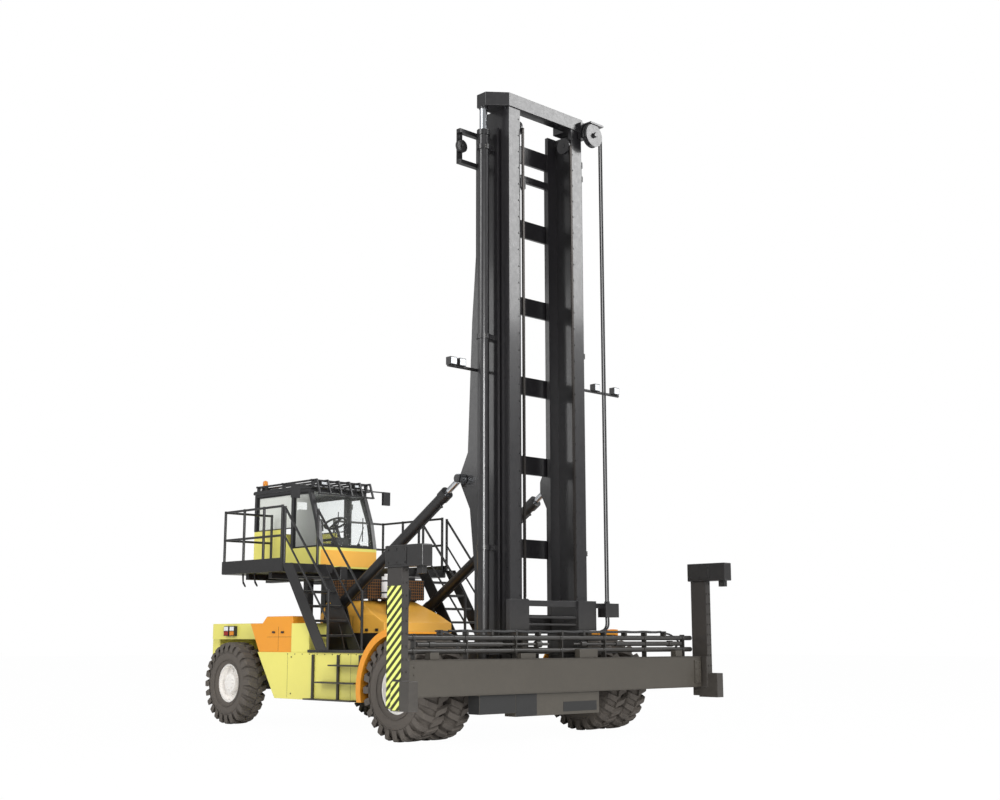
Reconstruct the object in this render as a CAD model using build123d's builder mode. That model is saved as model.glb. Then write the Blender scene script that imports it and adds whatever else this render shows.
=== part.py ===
from build123d import *
from math import radians, tan
import os

os.makedirs("parts", exist_ok=True)

# Empty container handler with a two-stage mast and a side spreader.
# Millimetres, +X forward, +Y to the machine's left, +Z up, ground at z = 0.

# Driving sizes of the whole machine
wheelbase = 4900
spreader_reach = 1120     # front axle to the spreader beam's front face
head_proud = 500          # hook heads reach this far ahead of the spreader beam
front_reach = spreader_reach + head_proud
rear_overhang = 1250      # rear axle to the rear face
front_x = (wheelbase + rear_overhang - front_reach) / 2    # front axle, so that the box is centred
rear_x = front_x - wheelbase
tail_x = rear_x - rear_overhang

# Wheels
front_tyre_od = 1370
front_tyre_width = 395
front_rim_od = 680
dual_gap = 60             # between the two tyres of a twin
front_outer_y = 2200      # outer face of the outer front tyre
rear_tyre_od = 1300
rear_tyre_width = 350
rear_rim_od = 640
rear_outer_y = 1660
lug_count = 20            # tread lugs in each of a tyre's two staggered rows
lug_depth = 36
lug_width = tan(radians(90 / lug_count))    # share of the tyre's diameter, so both rows meet the ground
tyre_wall_w = 50          # width of the sloping side wall along the axle
tyre_bead_inset = 54      # rim flange lies this far inside the tyre's face
front_z = front_tyre_od / 2
rear_z = rear_tyre_od / 2
front_y = front_outer_y - front_tyre_width - dual_gap / 2   # middle of the twin
rear_y = rear_outer_y - rear_tyre_width / 2
rim_wall = 26
hub_r = 150
shaft_clear = 0.05        # running clearance of shafts, radial
seat_gap = 0.3            # gap between pieces of different bodies that touch
wheel_shaft_r = 75
disc_thickness = 32
nut_h = 22

# Chassis frame
beam_y = 430              # centre line of each side beam
beam_w = 130
beam_outer_y = beam_y + beam_w / 2
beam_inner_y = beam_y - beam_w / 2
beam_z0 = 850
beam_z1 = 1240
beam_front_x = front_x + 60
axle_tube_r = 150
axle_pad_w = 210

# Side boxes, tanks and walkways
side_outer_y = 1600
side_inner_y = 1180
side_z0 = 450
side_z1 = 1150
side_front_x = front_x - 1310
side_slant_low_x = rear_x + 1260       # foot of the sloping rear edge, clear of the steered tyre
side_slant_top_x = rear_x + 770        # its top, at side_z1
walkway_t = 40
walkway_z = side_z1 + walkway_t

# Hood
hood_rear_x = front_x - 3720
hood_front_x = front_x - 2080
hood_half_w = 690
hood_z0 = 1440
hood_shoulder_z = 1720
hood_top_z = 1950
hood_top_half_w = 560
hood_wall = 30
hood_slope_x = hood_front_x - 750     # where the top starts to fall
hood_slope_z = hood_top_z - 350       # height of the fall's foot on the front
screen_top_z = 2290       # mesh screen of the cooler, above the hood's rear
screen_half_w = 600

# Deck, cab and its support
deck_z = 2520
deck_t = 130
deck_outer_y = 1700
deck_len = 1710
deck_rear_x = front_x - 5080
deck_front_x = deck_rear_x + deck_len
rail_h = 890
rail_mid_h = 430
rail_r = 19
stair_inner_y = 1050
stair_run = 920
stair_steps = 6
string_w = 260            # stringer measured along x
cab_right_y = -690
cab_left_y = 490
cab_rear_x = front_x - 5690
cab_front_x = front_x - 3760          # front of the cab's base
cab_roof_front_x = front_x - 4060
cab_floor_z = 2500
cab_sill_z = 2840
cab_back_sill_z = 3180
cab_top_z = 3880
cab_wall = 45
cab_pillar = 70
cab_b_pillar_x = front_x - 4560
glass_t = 8

# Mast
mast_rear_x = front_x + 120
outer_half_w = 840
outer_web_t = 40
outer_flange_t = 45
outer_flange_w = 230
outer_depth = 460
outer_z0 = 430
outer_z1 = 8760
inner_half_w = outer_half_w - outer_web_t - 22
inner_col_w = 228
inner_rear_x = front_x + 205
inner_front_x = front_x + 760
inner_flange_t = 60
inner_web_t = 40
inner_z0 = 480
inner_z1 = 9055
top_beam_h = 205
crossbar_h = 270
tilt_lug_x = front_x - 120
tilt_lug_z = 3620
tilt_y = outer_half_w + 72
tilt_base_x = front_x - 3000
tilt_base_z = 1800
tilt_barrel_r = 82
tilt_rod_r = 45
tilt_pin_r = 40
tilt_exposed_rod = 345    # bare rod between gland and eye at rest
eye_play = 3              # the rod's eye is bored this much over its pin
lift_y = outer_half_w + 160
lift_x = front_x + 450
lift_barrel_r = 84
lift_rod_r = 58
lift_z0 = 760
lift_z1 = 8700
chain_y = 515
chain_x = front_x + 780
chain_wheel_z = 8800
chain_wheel_r = 125
chain_half_t = 14
chain_wheel_x = chain_x - chain_half_t - seat_gap - chain_wheel_r

# Carriage and spreader
carriage_z0 = 760
carriage_z1 = 1900
carriage_cheek_y = 520
carriage_cheek_t = 30
spreader_half = 2950
spreader_z0 = 630
spreader_z1 = 1090
spreader_front_x = front_x + spreader_reach
spreader_depth = 290
spreader_wall = 14
tele_gap = 6
end_clear = 15            # main beam to the telescope's end plate, closed
end_plate_t = 25
post_t = 110
post_inner_y = spreader_half + end_clear + end_plate_t
post_outer_y = post_inner_y + post_t
post_proud = 100          # posts stand this far ahead of the main beam
post_depth = 290
post_z0 = 500
post_z1 = 2230
head_z1 = 2500


def block(xs, ys, zs, mode=Mode.ADD):
    """Box from three pairs of low and high coordinates."""
    middle = ((xs[0] + xs[1]) / 2, (ys[0] + ys[1]) / 2, (zs[0] + zs[1]) / 2)
    with Locations(middle):
        Box(xs[1] - xs[0], ys[1] - ys[0], zs[1] - zs[0], mode=mode)


def side_plate(points, ys, mode=Mode.ADD):
    """Polygon drawn in x and z, as thick as the pair ys."""
    with BuildSketch(Plane.XZ.offset(-ys[1])) as outline:
        with BuildLine():
            Polyline(*points, close=True)
        make_face()
    extrude(outline.sketch, amount=ys[1] - ys[0], mode=mode)


def bar_y(x, z, radius, ys, mode=Mode.ADD):
    """Round bar along Y."""
    with BuildSketch(Plane.XZ.offset(-ys[1])) as outline:
        with Locations((x, z)):
            Circle(radius)
    extrude(outline.sketch, amount=ys[1] - ys[0], mode=mode)


def bar_x(y, z, radius, xs, mode=Mode.ADD):
    """Round bar along X."""
    with BuildSketch(Plane.YZ.offset(xs[0])) as outline:
        with Locations((y, z)):
            Circle(radius)
    extrude(outline.sketch, amount=xs[1] - xs[0], mode=mode)


def bar_z(x, y, radius, zs, mode=Mode.ADD):
    """Round bar along Z."""
    with BuildSketch(Plane.XY.offset(zs[0])) as outline:
        with Locations((x, y)):
            Circle(radius)
    extrude(outline.sketch, amount=zs[1] - zs[0], mode=mode)


def bar_between(start, end, radius, mode=Mode.ADD):
    """Round bar from one point to another."""
    run = Vector(*end) - Vector(*start)
    with BuildSketch(Plane(origin=start, z_dir=run)) as outline:
        Circle(radius)
    extrude(outline.sketch, amount=run.length, mode=mode)


def save(piece, name):
    """Name the piece's node and write its file."""
    piece.part.label = name
    export_step(piece.part, f"parts/{name}.step")


sides = [("right", -1), ("left", 1)]

# Front drive axle: a tube with a centre case, held under the frame by two pads
tube_end_y = front_y - front_tyre_width - dual_gap / 2 - 40
with BuildPart() as front_axle:
    bar_y(front_x, front_z, axle_tube_r, (-tube_end_y, tube_end_y))
    bar_y(front_x, front_z, axle_tube_r + 130, (-210, 210))
    for sign in (-1, 1):
        hub_y = (sign * tube_end_y, sign * (front_y + 60))
        bar_y(front_x, front_z, wheel_shaft_r, (min(hub_y), max(hub_y)))
        pad_y = (sign * beam_y - axle_pad_w / 2, sign * beam_y + axle_pad_w / 2)
        block((front_x - 250, front_x + 50), pad_y, (front_z, beam_z0))
save(front_axle, "front_axle")

# Chassis frame: two side beams, cross members, outriggers and the tilt towers
frame_rear_x = tail_x + 380
tower_cheeks = ((tilt_y - 120, tilt_y - 88), (tilt_y + 88, tilt_y + 120))
with BuildPart() as chassis_frame:
    for sign in (-1, 1):
        block((frame_rear_x, beam_front_x), sorted((sign * beam_inner_y, sign * beam_outer_y)), (beam_z0, beam_z1))
    for x in (frame_rear_x + 80, front_x - 3800, front_x - 1500):
        block((x - 60, x + 60), (-beam_y, beam_y), (beam_z0 + 60, beam_z1 - 60))
    block((beam_front_x - 120, beam_front_x), (-beam_y, beam_y), (beam_z1 - 220, beam_z1))
    for sign in (-1, 1):
        for x in (front_x - 3000, front_x - 1560):
            block((x - 90, x + 90), sorted((sign * beam_y, sign * side_inner_y)), (beam_z1 - 240, beam_z1 - 90))
        for low, high in tower_cheeks:
            ys = sorted((sign * low, sign * high))
            side_plate([(tilt_base_x - 330, beam_z1 - 160), (tilt_base_x + 420, beam_z1 - 160),
                        (tilt_base_x + 110, tilt_base_z + 90), (tilt_base_x - 110, tilt_base_z + 90)], ys)
        bar_y(tilt_base_x, tilt_base_z, tilt_pin_r, sorted((sign * tower_cheeks[0][0], sign * tower_cheeks[1][1])))
save(chassis_frame, "chassis_frame")

# Rear steering axle beam with the kingpin eyes
kingpin_y = 1120
kingpin_r = 50
fork_z = 150              # half height of the knuckle between its ears
with BuildPart() as steer_axle:
    block((rear_x - 110, rear_x + 110), (-kingpin_y, kingpin_y), (rear_z - 110, rear_z + 90))
    block((rear_x - 150, rear_x + 150), (-beam_outer_y, beam_outer_y), (rear_z - 150, beam_z0))
    for sign in (-1, 1):
        bar_z(rear_x, sign * kingpin_y, 110, (rear_z - 110, rear_z + 90))
        bar_z(rear_x, sign * kingpin_y, kingpin_r + shaft_clear, (rear_z - 110, rear_z + 90), mode=Mode.SUBTRACT)
save(steer_axle, "steer_axle")


def lugged_tyre(x, y, z, od, rim_od, width):
    """Tyre about an axle along Y: a carcass of flat facets with two staggered rows of lugs."""
    half_w = width / 2
    tread_w = half_w - tyre_wall_w
    facets = 2 * lug_count    # a lug and the gap beside it each cover one
    core_r = od / 2 - lug_depth
    wall_r = od / 2 - 150
    rings = []
    for offset, radius in ((half_w, wall_r), (tread_w, core_r), (-tread_w, core_r), (-half_w, wall_r)):
        with BuildSketch(Plane.XZ.offset(-y - offset)) as ring:
            with Locations((x, z)):
                RegularPolygon(radius, facets, major_radius=False, rotation=180 / facets)
        rings.append(ring.sketch)
    loft(rings, ruled=True)
    pitch = 360 / lug_count
    for low, phase in ((0, -90), (-tread_w, -90 + pitch / 2)):
        with BuildSketch(Plane.XZ.offset(-y - low - tread_w)) as row:
            with Locations((x, z)):
                with PolarLocations(od / 2 - lug_depth, lug_count, start_angle=phase):
                    Rectangle(2 * lug_depth, lug_width * od)
        extrude(row.sketch, amount=tread_w)
    with BuildSketch(Plane.XZ.offset(-y - half_w - 1)) as bore:
        with Locations((x, z)):
            RegularPolygon(rim_od / 2 - 14, lug_count, major_radius=False)
    extrude(bore.sketch, amount=width + 2, mode=Mode.SUBTRACT)


def wheel_nuts(x, z, ring_r, ys):
    """Ring of ten hexagon nuts, as tall as the pair ys."""
    with BuildSketch(Plane.XZ.offset(-ys[1])) as outline:
        with Locations((x, z)):
            with PolarLocations(ring_r, 10):
                RegularPolygon(19, 6)
    extrude(outline.sketch, amount=ys[1] - ys[0])


def revolve_about_axle(points, x, y, z):
    """Turn a profile of (radius, axle offset) points about the wheel's own axle along Y."""
    with BuildSketch(Plane(origin=(x, y, z), x_dir=(1, 0, 0), z_dir=(0, 0, 1))) as outline:
        with BuildLine():
            Polyline(*points, close=True)
        make_face()
    revolve(outline.sketch, axis=Axis((x, y, z), (0, 1, 0)))


# Front twin wheels: two tyres and two rims on each side
twin_offsets = [("inner", -(front_tyre_width + dual_gap) / 2), ("outer", (front_tyre_width + dual_gap) / 2)]
for side, sign in sides:
    with BuildPart() as tyres:
        for place, offset in twin_offsets:
            lugged_tyre(front_x, sign * (front_y + offset), front_z, front_tyre_od, front_rim_od, front_tyre_width)
    save(tyres, f"front_tyres_{side}")
    with BuildPart() as rims:
        rim_half_w = front_tyre_width / 2 - tyre_bead_inset
        reach = front_y + twin_offsets[1][1] + rim_half_w
        base = front_y + twin_offsets[0][1] - rim_half_w
        outer = front_rim_od / 2 - 14 - seat_gap
        inner = outer - rim_wall
        disc = front_y
        section = [(outer, base), (outer, reach), (inner, reach), (inner, disc + disc_thickness),
                   (hub_r, disc + disc_thickness), (hub_r, disc + 150), (70, disc + 190), (0, disc + 190),
                   (0, front_y + 60 + 0.3), (wheel_shaft_r + shaft_clear, front_y + 60 + 0.3),
                   (wheel_shaft_r + shaft_clear, disc - 200), (hub_r, disc - 200), (hub_r, disc), (inner, disc),
                   (inner, base)]
        revolve_about_axle([(r, sign * y) for r, y in section], front_x, 0, front_z)
        nut_base = disc + disc_thickness
        wheel_nuts(front_x, front_z, hub_r + 60, sorted((sign * nut_base, sign * (nut_base + nut_h))))
    save(rims, f"front_rims_{side}")

# Rear steered wheels: knuckle, rim and tyre
for side, sign in sides:
    with BuildPart() as knuckle:
        bar_z(rear_x, sign * kingpin_y, kingpin_r, (rear_z - fork_z, rear_z + fork_z))
        for z0, z1 in ((rear_z - fork_z, rear_z - 110 - 5), (rear_z + 90 + 5, rear_z + fork_z)):
            bar_z(rear_x, sign * kingpin_y, 105, (z0, z1))
            block((rear_x - 80, rear_x + 80), sorted((sign * kingpin_y, sign * (kingpin_y + 175))), (z0, z1))
        block((rear_x - 80, rear_x + 80), sorted((sign * (kingpin_y + 120), sign * (kingpin_y + 175))),
              (rear_z - fork_z, rear_z + fork_z))
        bar_y(rear_x, rear_z, wheel_shaft_r, sorted((sign * (kingpin_y + 150), sign * (rear_y + 40))))
    save(knuckle, f"rear_knuckle_{side}")
    with BuildPart() as tyre:
        lugged_tyre(rear_x, sign * rear_y, rear_z, rear_tyre_od, rear_rim_od, rear_tyre_width)
    save(tyre, f"rear_tyre_{side}")
    with BuildPart() as rim:
        rim_half_w = rear_tyre_width / 2 - tyre_bead_inset
        outer = rear_rim_od / 2 - 14 - seat_gap
        inner = outer - rim_wall
        disc = rear_y - 20
        section = [(outer, rear_y - rim_half_w), (outer, rear_y + rim_half_w), (inner, rear_y + rim_half_w),
                   (inner, disc + disc_thickness), (hub_r, disc + disc_thickness), (hub_r, disc + 130),
                   (0, disc + 130), (0, rear_y + 40 + 0.3), (wheel_shaft_r + shaft_clear, rear_y + 40 + 0.3),
                   (wheel_shaft_r + shaft_clear, disc - 70), (hub_r, disc - 70), (hub_r, disc), (inner, disc),
                   (inner, rear_y - rim_half_w)]
        revolve_about_axle([(r, sign * y) for r, y in section], rear_x, 0, rear_z)
        nut_base = disc + disc_thickness
        wheel_nuts(rear_x, rear_z, hub_r + 55, sorted((sign * nut_base, sign * (nut_base + nut_h))))
    save(rim, f"rear_rim_{side}")

# Side boxes: fuel tank on the right, hydraulic tank on the left, with sloping rear edges
slope = (side_slant_low_x - side_slant_top_x) / (side_z1 - side_z0)
for side, sign in sides:
    name = "fuel_tank" if side == "right" else "hydraulic_tank"
    with BuildPart() as tank:
        side_plate([(side_slant_low_x, side_z0), (side_front_x - 240, side_z0), (side_front_x, side_z0 + 260),
                    (side_front_x, side_z1), (side_slant_top_x, side_z1)],
                   sorted((sign * side_inner_y, sign * side_outer_y)))
    save(tank, name)

# Boxes above the tanks: a tall rear one that follows the slope, and the battery box ahead of it
upper_z1 = 1700
upper_step = 105
upper_front_x = side_slant_top_x + 900
battery_front_x = upper_front_x + 465
with BuildPart() as upper_boxes:
    rise = slope * (upper_z1 - upper_step - side_z1)
    for sign in (-1, 1):
        side_plate([(side_slant_top_x, side_z1), (upper_front_x, side_z1), (upper_front_x, upper_z1),
                    (side_slant_top_x + 200, upper_z1), (side_slant_top_x + 80, upper_z1 - upper_step),
                    (side_slant_top_x - rise * 0.82, upper_z1 - upper_step)],
                   sorted((sign * (side_inner_y + 20), sign * (side_outer_y - 25))))
save(upper_boxes, "rear_side_boxes")
with BuildPart() as battery_box:
    block((upper_front_x, battery_front_x), (-side_outer_y + 5, -side_inner_y - 60), (side_z1, upper_z1 - upper_step - 5))
save(battery_box, "battery_box")

# Walkways of tread plate over the tanks
with BuildPart() as walkways:
    for sign in (-1, 1):
        block((tilt_base_x + 430, side_front_x), sorted((sign * (hood_half_w + 5), sign * (side_outer_y + 20))),
              (side_z1, walkway_z))
        block((battery_front_x, tilt_base_x + 430), sorted((sign * stair_inner_y, sign * (side_outer_y + 20))),
              (side_z1, walkway_z))
save(walkways, "walkways")

# Counterweight: a block behind the frame with a shelf over the rear wheels
weight_z1 = 1600
shelf_z0 = rear_tyre_od + 45
shelf_half_w = 1400
weight_front_x = rear_x - 870    # clear of the steered tyres
shelf_front_x = front_x - 4400
with BuildPart() as counterweight:
    block((tail_x, weight_front_x), (-1250, 1250), (620, weight_z1))
    block((weight_front_x, shelf_front_x), (-shelf_half_w, shelf_half_w), (shelf_z0, weight_z1))
    block((weight_front_x, rear_x - 200), (-300, 300), (beam_z1, weight_z1))
    chamfer(edges().filter_by(Axis.Z).group_by(Axis.X)[0], length=160)
save(counterweight, "counterweight")

# Tail lamps on brackets at the sides of the shelf
with BuildPart() as tail_lamps:
    for sign in (-1, 1):
        for back in (5340, 5170):
            block((front_x - back, front_x - back + 140), sorted((sign * shelf_half_w, sign * (shelf_half_w + 60))),
                  (weight_z1 - 200, weight_z1 - 40))
save(tail_lamps, "tail_lamps")

# Engine as one plain block, a black base under the hood, and the hood over it
with BuildPart() as engine:
    block((hood_rear_x + 220, hood_slope_x - 60), (-beam_inner_y, beam_inner_y), (beam_z0 + 20, hood_top_z - 100))
save(engine, "engine_block")
with BuildPart() as hood_base:
    block((hood_rear_x, hood_front_x), (-hood_half_w + 8, hood_half_w - 8), (beam_z1 + seat_gap, hood_z0))
    block((hood_rear_x + hood_wall, hood_front_x - hood_wall), (-hood_half_w + 60, hood_half_w - 60),
          (beam_z1, hood_z0 + 1), mode=Mode.SUBTRACT)
save(hood_base, "hood_base")
hood_shape = {}
for layer, inset in (("skin", 0), ("space", hood_wall)):
    with BuildPart() as shape:
        with BuildSketch(Plane.YZ.offset(hood_rear_x + inset)) as section:
            with BuildLine():
                Polyline((-hood_half_w + inset, hood_z0 - inset), (-hood_half_w + inset, hood_shoulder_z - inset / 2),
                         (-hood_top_half_w + inset, hood_top_z - inset), (hood_top_half_w - inset, hood_top_z - inset),
                         (hood_half_w - inset, hood_shoulder_z - inset / 2), (hood_half_w - inset, hood_z0 - inset),
                         close=True)
            make_face()
        extrude(section.sketch, amount=hood_front_x - hood_rear_x - 2 * inset)
        side_plate([(hood_rear_x, hood_z0 - inset), (hood_front_x - inset, hood_z0 - inset),
                    (hood_front_x - inset, hood_slope_z - inset * 0.42), (hood_slope_x - inset * 0.42, hood_top_z - inset),
                    (hood_rear_x, hood_top_z - inset)], (-hood_half_w, hood_half_w), mode=Mode.INTERSECT)
    hood_shape[layer] = shape.part
with BuildPart() as hood:
    add(hood_shape["skin"])
    add(hood_shape["space"], mode=Mode.SUBTRACT)
save(hood, "hood")

# Hood fittings: the cooler's screen, a frame of angle bars with a plain sheet for the mesh, and the bracket
# under the air cleaner
screen_rear_x = hood_rear_x + 20
screen_front_x = hood_slope_x + 180
screen_bar = 50
cleaner_x = front_x - 2300
cleaner_y = -370
cleaner_z0 = hood_top_z + 30
bracket_xs = (cleaner_x - 60, cleaner_x + 60)
fall = (hood_top_z - hood_slope_z) / (hood_front_x - hood_slope_x)
bracket_foot = [(x, hood_top_z - fall * (x - hood_slope_x)) for x in bracket_xs]
with BuildPart() as hood_fittings:
    block((screen_rear_x, screen_front_x), (-screen_half_w + 12, screen_half_w - 12), (hood_top_z, screen_top_z - 12))
    block((screen_rear_x - 1, screen_front_x - 30), (-screen_half_w + 40, screen_half_w - 40),
          (hood_top_z - 1, screen_top_z - 40), mode=Mode.SUBTRACT)
    block((hood_slope_x, screen_front_x + 1), (-screen_half_w, screen_half_w), (hood_top_z - 1, hood_top_z + 20),
          mode=Mode.SUBTRACT)
    for x in (screen_rear_x, (screen_rear_x + screen_front_x - screen_bar) / 2, screen_front_x - screen_bar):
        for sign in (-1, 1):
            block((x, x + screen_bar), sorted((sign * (screen_half_w - screen_bar), sign * screen_half_w)),
                  (hood_top_z + 20, screen_top_z))
        block((x, x + screen_bar), (-screen_half_w, screen_half_w), (screen_top_z - screen_bar, screen_top_z))
    side_plate([*bracket_foot, (bracket_xs[1], cleaner_z0), (bracket_xs[0], cleaner_z0)],
               (cleaner_y - 60, cleaner_y + 60))
save(hood_fittings, "hood_fittings")

# Air cleaner: a white canister that stands over the hood's slope
with BuildPart() as air_cleaner:
    bar_z(cleaner_x, cleaner_y, 160, (cleaner_z0, cleaner_z0 + 330))
    bar_z(cleaner_x, cleaner_y, 120, (cleaner_z0 + 330, cleaner_z0 + 370))
save(air_cleaner, "air_cleaner")

# Front fenders over the twins
fender_r = front_tyre_od / 2 + 55
fender_t = 22
fender_flange_r = (720, 815)
fender_y = (front_y - front_tyre_width - dual_gap / 2 - 35, front_outer_y + 10)
with BuildPart() as fenders:
    for side, sign in sides:
        with BuildSketch(Plane.XZ.offset(-max(sign * fender_y[0], sign * fender_y[1]))):
            with Locations((front_x, front_z)):
                Circle(fender_r + fender_t)
                Circle(fender_r, mode=Mode.SUBTRACT)
            with Locations((front_x + 700, front_z - 300)):
                Rectangle(1200, 2600, mode=Mode.SUBTRACT)
            with Locations((front_x, front_z - 640)):
                Rectangle(3000, 900, mode=Mode.SUBTRACT)
        extrude(amount=fender_y[1] - fender_y[0])
        flange_y = sorted((sign * (fender_y[1] - 16), sign * fender_y[1]))
        with BuildSketch(Plane.XZ.offset(-flange_y[1])):
            with Locations((front_x, front_z)):
                Circle(fender_flange_r[1])
                Circle(fender_flange_r[0], mode=Mode.SUBTRACT)
            with Locations((front_x + 700, front_z - 300)):
                Rectangle(1200, 2600, mode=Mode.SUBTRACT)
            with Locations((front_x, front_z - 640)):
                Rectangle(3000, 900, mode=Mode.SUBTRACT)
        extrude(amount=flange_y[1] - flange_y[0])
        block((side_front_x, front_x - fender_r - fender_t / 2),
              sorted((sign * (side_inner_y + 160), sign * side_outer_y)), (front_z + 120, front_z + 180))
save(fenders, "front_fenders")

# Deck on both sides of the cab with its brackets and bent stays, and beams that carry the cab
deck_inner = {-1: -cab_right_y + 30, 1: cab_left_y + 30}
deck_low_z = deck_z - deck_t
with BuildPart() as deck:
    for sign in (-1, 1):
        block((deck_rear_x, deck_front_x), sorted((sign * deck_inner[sign], sign * deck_outer_y)), (deck_low_z, deck_z))
        for x in (deck_rear_x + 450, deck_rear_x + 1100):
            block((x - 45, x + 45), sorted((sign * 430, sign * (deck_outer_y - 200))), (deck_low_z - 90, deck_low_z))
        block((cab_rear_x + 200, hood_rear_x + 350), sorted((sign * 420, sign * 560)), (deck_low_z - 90, cab_floor_z))
        for x in (shelf_front_x + 70, hood_rear_x - 120):
            block((x - 60, x + 60), sorted((sign * 430, sign * 550)), (beam_z1, deck_low_z - 90))
        for x in (deck_rear_x + 420, deck_rear_x + 760):
            hoop_y = sorted((sign * (deck_outer_y - 140), sign * (deck_outer_y - 115)))
            side_plate([(x, deck_low_z), (x + 25, deck_low_z), (x + 30, deck_low_z - 120), (x + 90, deck_low_z - 190),
                        (x + 90, deck_low_z - 215), (x + 20, deck_low_z - 150)], hoop_y)
    for x in (cab_rear_x + 600, cab_front_x - 300):
        block((x - 50, x + 50), (-deck_inner[-1], deck_inner[1]), (deck_low_z - 60, cab_floor_z))
save(deck, "deck")

# Stairs on both sides, climbing backwards from the walkway to the deck
stair_top_x = deck_front_x
stair_foot_x = stair_top_x + stair_run
stair_top_z = deck_z - 10
with BuildPart() as stairs:
    for sign in (-1, 1):
        for low, high in ((stair_inner_y, stair_inner_y + 16), (deck_outer_y - 16, deck_outer_y)):
            side_plate([(stair_top_x, stair_top_z), (stair_foot_x, walkway_z), (stair_foot_x + string_w, walkway_z),
                        (stair_top_x + string_w, stair_top_z)],
                       sorted((sign * low, sign * high)))
        for step in range(1, stair_steps):
            share = step / stair_steps
            x = stair_top_x + share * stair_run + string_w / 2
            z = deck_z - share * (deck_z - walkway_z)
            block((x - 115, x + 115), sorted((sign * stair_inner_y, sign * deck_outer_y)), (z - 30, z))
save(stairs, "stairs")

# Railings of the deck and the stairs
rail_y = deck_outer_y - 25
post_r = rail_r + 3
rail_rear_x = deck_rear_x + 25
rail_front_x = deck_front_x - 60
stair_posts = (stair_top_x + 40, stair_foot_x + string_w + post_r + 5)
with BuildPart() as railings:
    for sign in (-1, 1):
        y = sign * rail_y
        inner_y = sign * (deck_inner[sign] + 40)
        for h in (rail_h, rail_mid_h):
            bar_x(y, deck_z + h, rail_r, (rail_rear_x, rail_front_x))
            bar_y(rail_rear_x, deck_z + h, rail_r, sorted((inner_y, y)))
        for x in (rail_rear_x, rail_rear_x + 560, rail_rear_x + 1120, rail_front_x):
            bar_z(x, y, post_r, (deck_z, deck_z + rail_h + post_r))
        bar_z(rail_rear_x, inner_y, post_r, (deck_z, deck_z + rail_h + post_r))
        for y_rail in (stair_inner_y + 8, deck_outer_y - 8):
            y2 = sign * y_rail
            top = (stair_posts[0], y2, deck_z + rail_h - 30)
            foot = (stair_posts[1], y2, walkway_z + rail_h - 30)
            bar_between(top, foot, rail_r)
            bar_between((top[0], y2, top[2] - 440), (foot[0], y2, foot[2] - 440), rail_r * 0.8)
            bar_z(top[0], y2, post_r, (stair_top_z, top[2] + post_r))
            bar_z(foot[0], y2, post_r, (walkway_z, foot[2] + post_r))
save(railings, "railings")

# Access steps hung on the side of the tanks
step_table = [(230, 2080, 1370, 980), (240, 2410, 1450, 730), (250, 2680, 1540, 480)]   # depth, rear, front, height
with BuildPart() as side_steps:
    for sign in (-1, 1):
        for depth, back, front, z in step_table:
            block((front_x - back, front_x - front), sorted((sign * side_outer_y, sign * (side_outer_y + 150))),
                  (z - 22, z))
        for x in (front_x - 2620, front_x - 2000, front_x - 1480):
            block((x - 20, x + 20), sorted((sign * side_outer_y, sign * (side_outer_y + 30))), (458, 1120))
save(side_steps, "side_steps")

# Cab: base tub, frame of pillars, roof, guard, glass, door, seat and console
with BuildPart() as cab_base:
    side_plate([(cab_rear_x, cab_floor_z), (cab_front_x, cab_floor_z), (cab_front_x, cab_sill_z),
                (cab_b_pillar_x - cab_pillar / 2, cab_sill_z), (cab_b_pillar_x - 300, cab_back_sill_z),
                (cab_rear_x, cab_back_sill_z)],
               (cab_right_y, cab_left_y))
    side_plate([(cab_rear_x + cab_wall, cab_floor_z + cab_wall), (cab_front_x - cab_wall, cab_floor_z + cab_wall),
                (cab_front_x - cab_wall, cab_top_z), (cab_rear_x + cab_wall, cab_top_z)],
               (cab_right_y + cab_wall, cab_left_y - cab_wall), mode=Mode.SUBTRACT)
    block((cab_b_pillar_x + cab_pillar / 2, cab_front_x - 120), (cab_left_y - cab_wall - 2, cab_left_y + 2),
          (cab_floor_z + cab_wall, cab_sill_z + 5), mode=Mode.SUBTRACT)
save(cab_base, "cab_base")

frame_z0 = cab_top_z - 110
cab_rows = ((cab_right_y, cab_right_y + cab_pillar), (cab_left_y - cab_pillar, cab_left_y))
cab_clear = (cab_right_y + cab_pillar, cab_left_y - cab_pillar)
door_gap = 6
hinge_x = cab_b_pillar_x + cab_pillar / 2 + door_gap - 20
hinge_y = cab_left_y + 22
hinge_pin_r = 9
hinge_len = 90
hinge_heights = [cab_sill_z - 150, frame_z0 - door_gap - 200]
with BuildPart() as cab_frame:
    for y in cab_rows:
        block((cab_rear_x, cab_rear_x + cab_pillar), y, (cab_back_sill_z, frame_z0))
        side_plate([(cab_b_pillar_x - cab_pillar / 2, cab_sill_z), (cab_b_pillar_x + cab_pillar / 2, cab_sill_z),
                    (cab_b_pillar_x + cab_pillar / 2, frame_z0), (cab_b_pillar_x - cab_pillar / 2, frame_z0)], y)
        side_plate([(cab_front_x - cab_pillar, cab_sill_z), (cab_front_x, cab_sill_z), (cab_front_x - 90, cab_sill_z + 420),
                    (cab_roof_front_x, frame_z0), (cab_roof_front_x - cab_pillar, frame_z0),
                    (cab_front_x - 90 - cab_pillar, cab_sill_z + 420)], y)
    block((cab_rear_x, cab_roof_front_x), (cab_right_y, cab_left_y), (frame_z0, frame_z0 + 50))
    block((cab_rear_x + cab_pillar, cab_roof_front_x - cab_pillar), cab_clear, (frame_z0 - 1, frame_z0 + 51),
          mode=Mode.SUBTRACT)
    block((cab_front_x - cab_pillar, cab_front_x), cab_clear, (cab_sill_z, cab_sill_z + 35))
    for z in hinge_heights:
        bar_z(hinge_x, hinge_y, hinge_pin_r, (z - 25, z + hinge_len + 25))
        for low in (z - 25, z + hinge_len + 5):
            block((hinge_x - 15, hinge_x + 15), (cab_left_y, hinge_y + 15), (low, low + 20))
save(cab_frame, "cab_frame")

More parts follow.
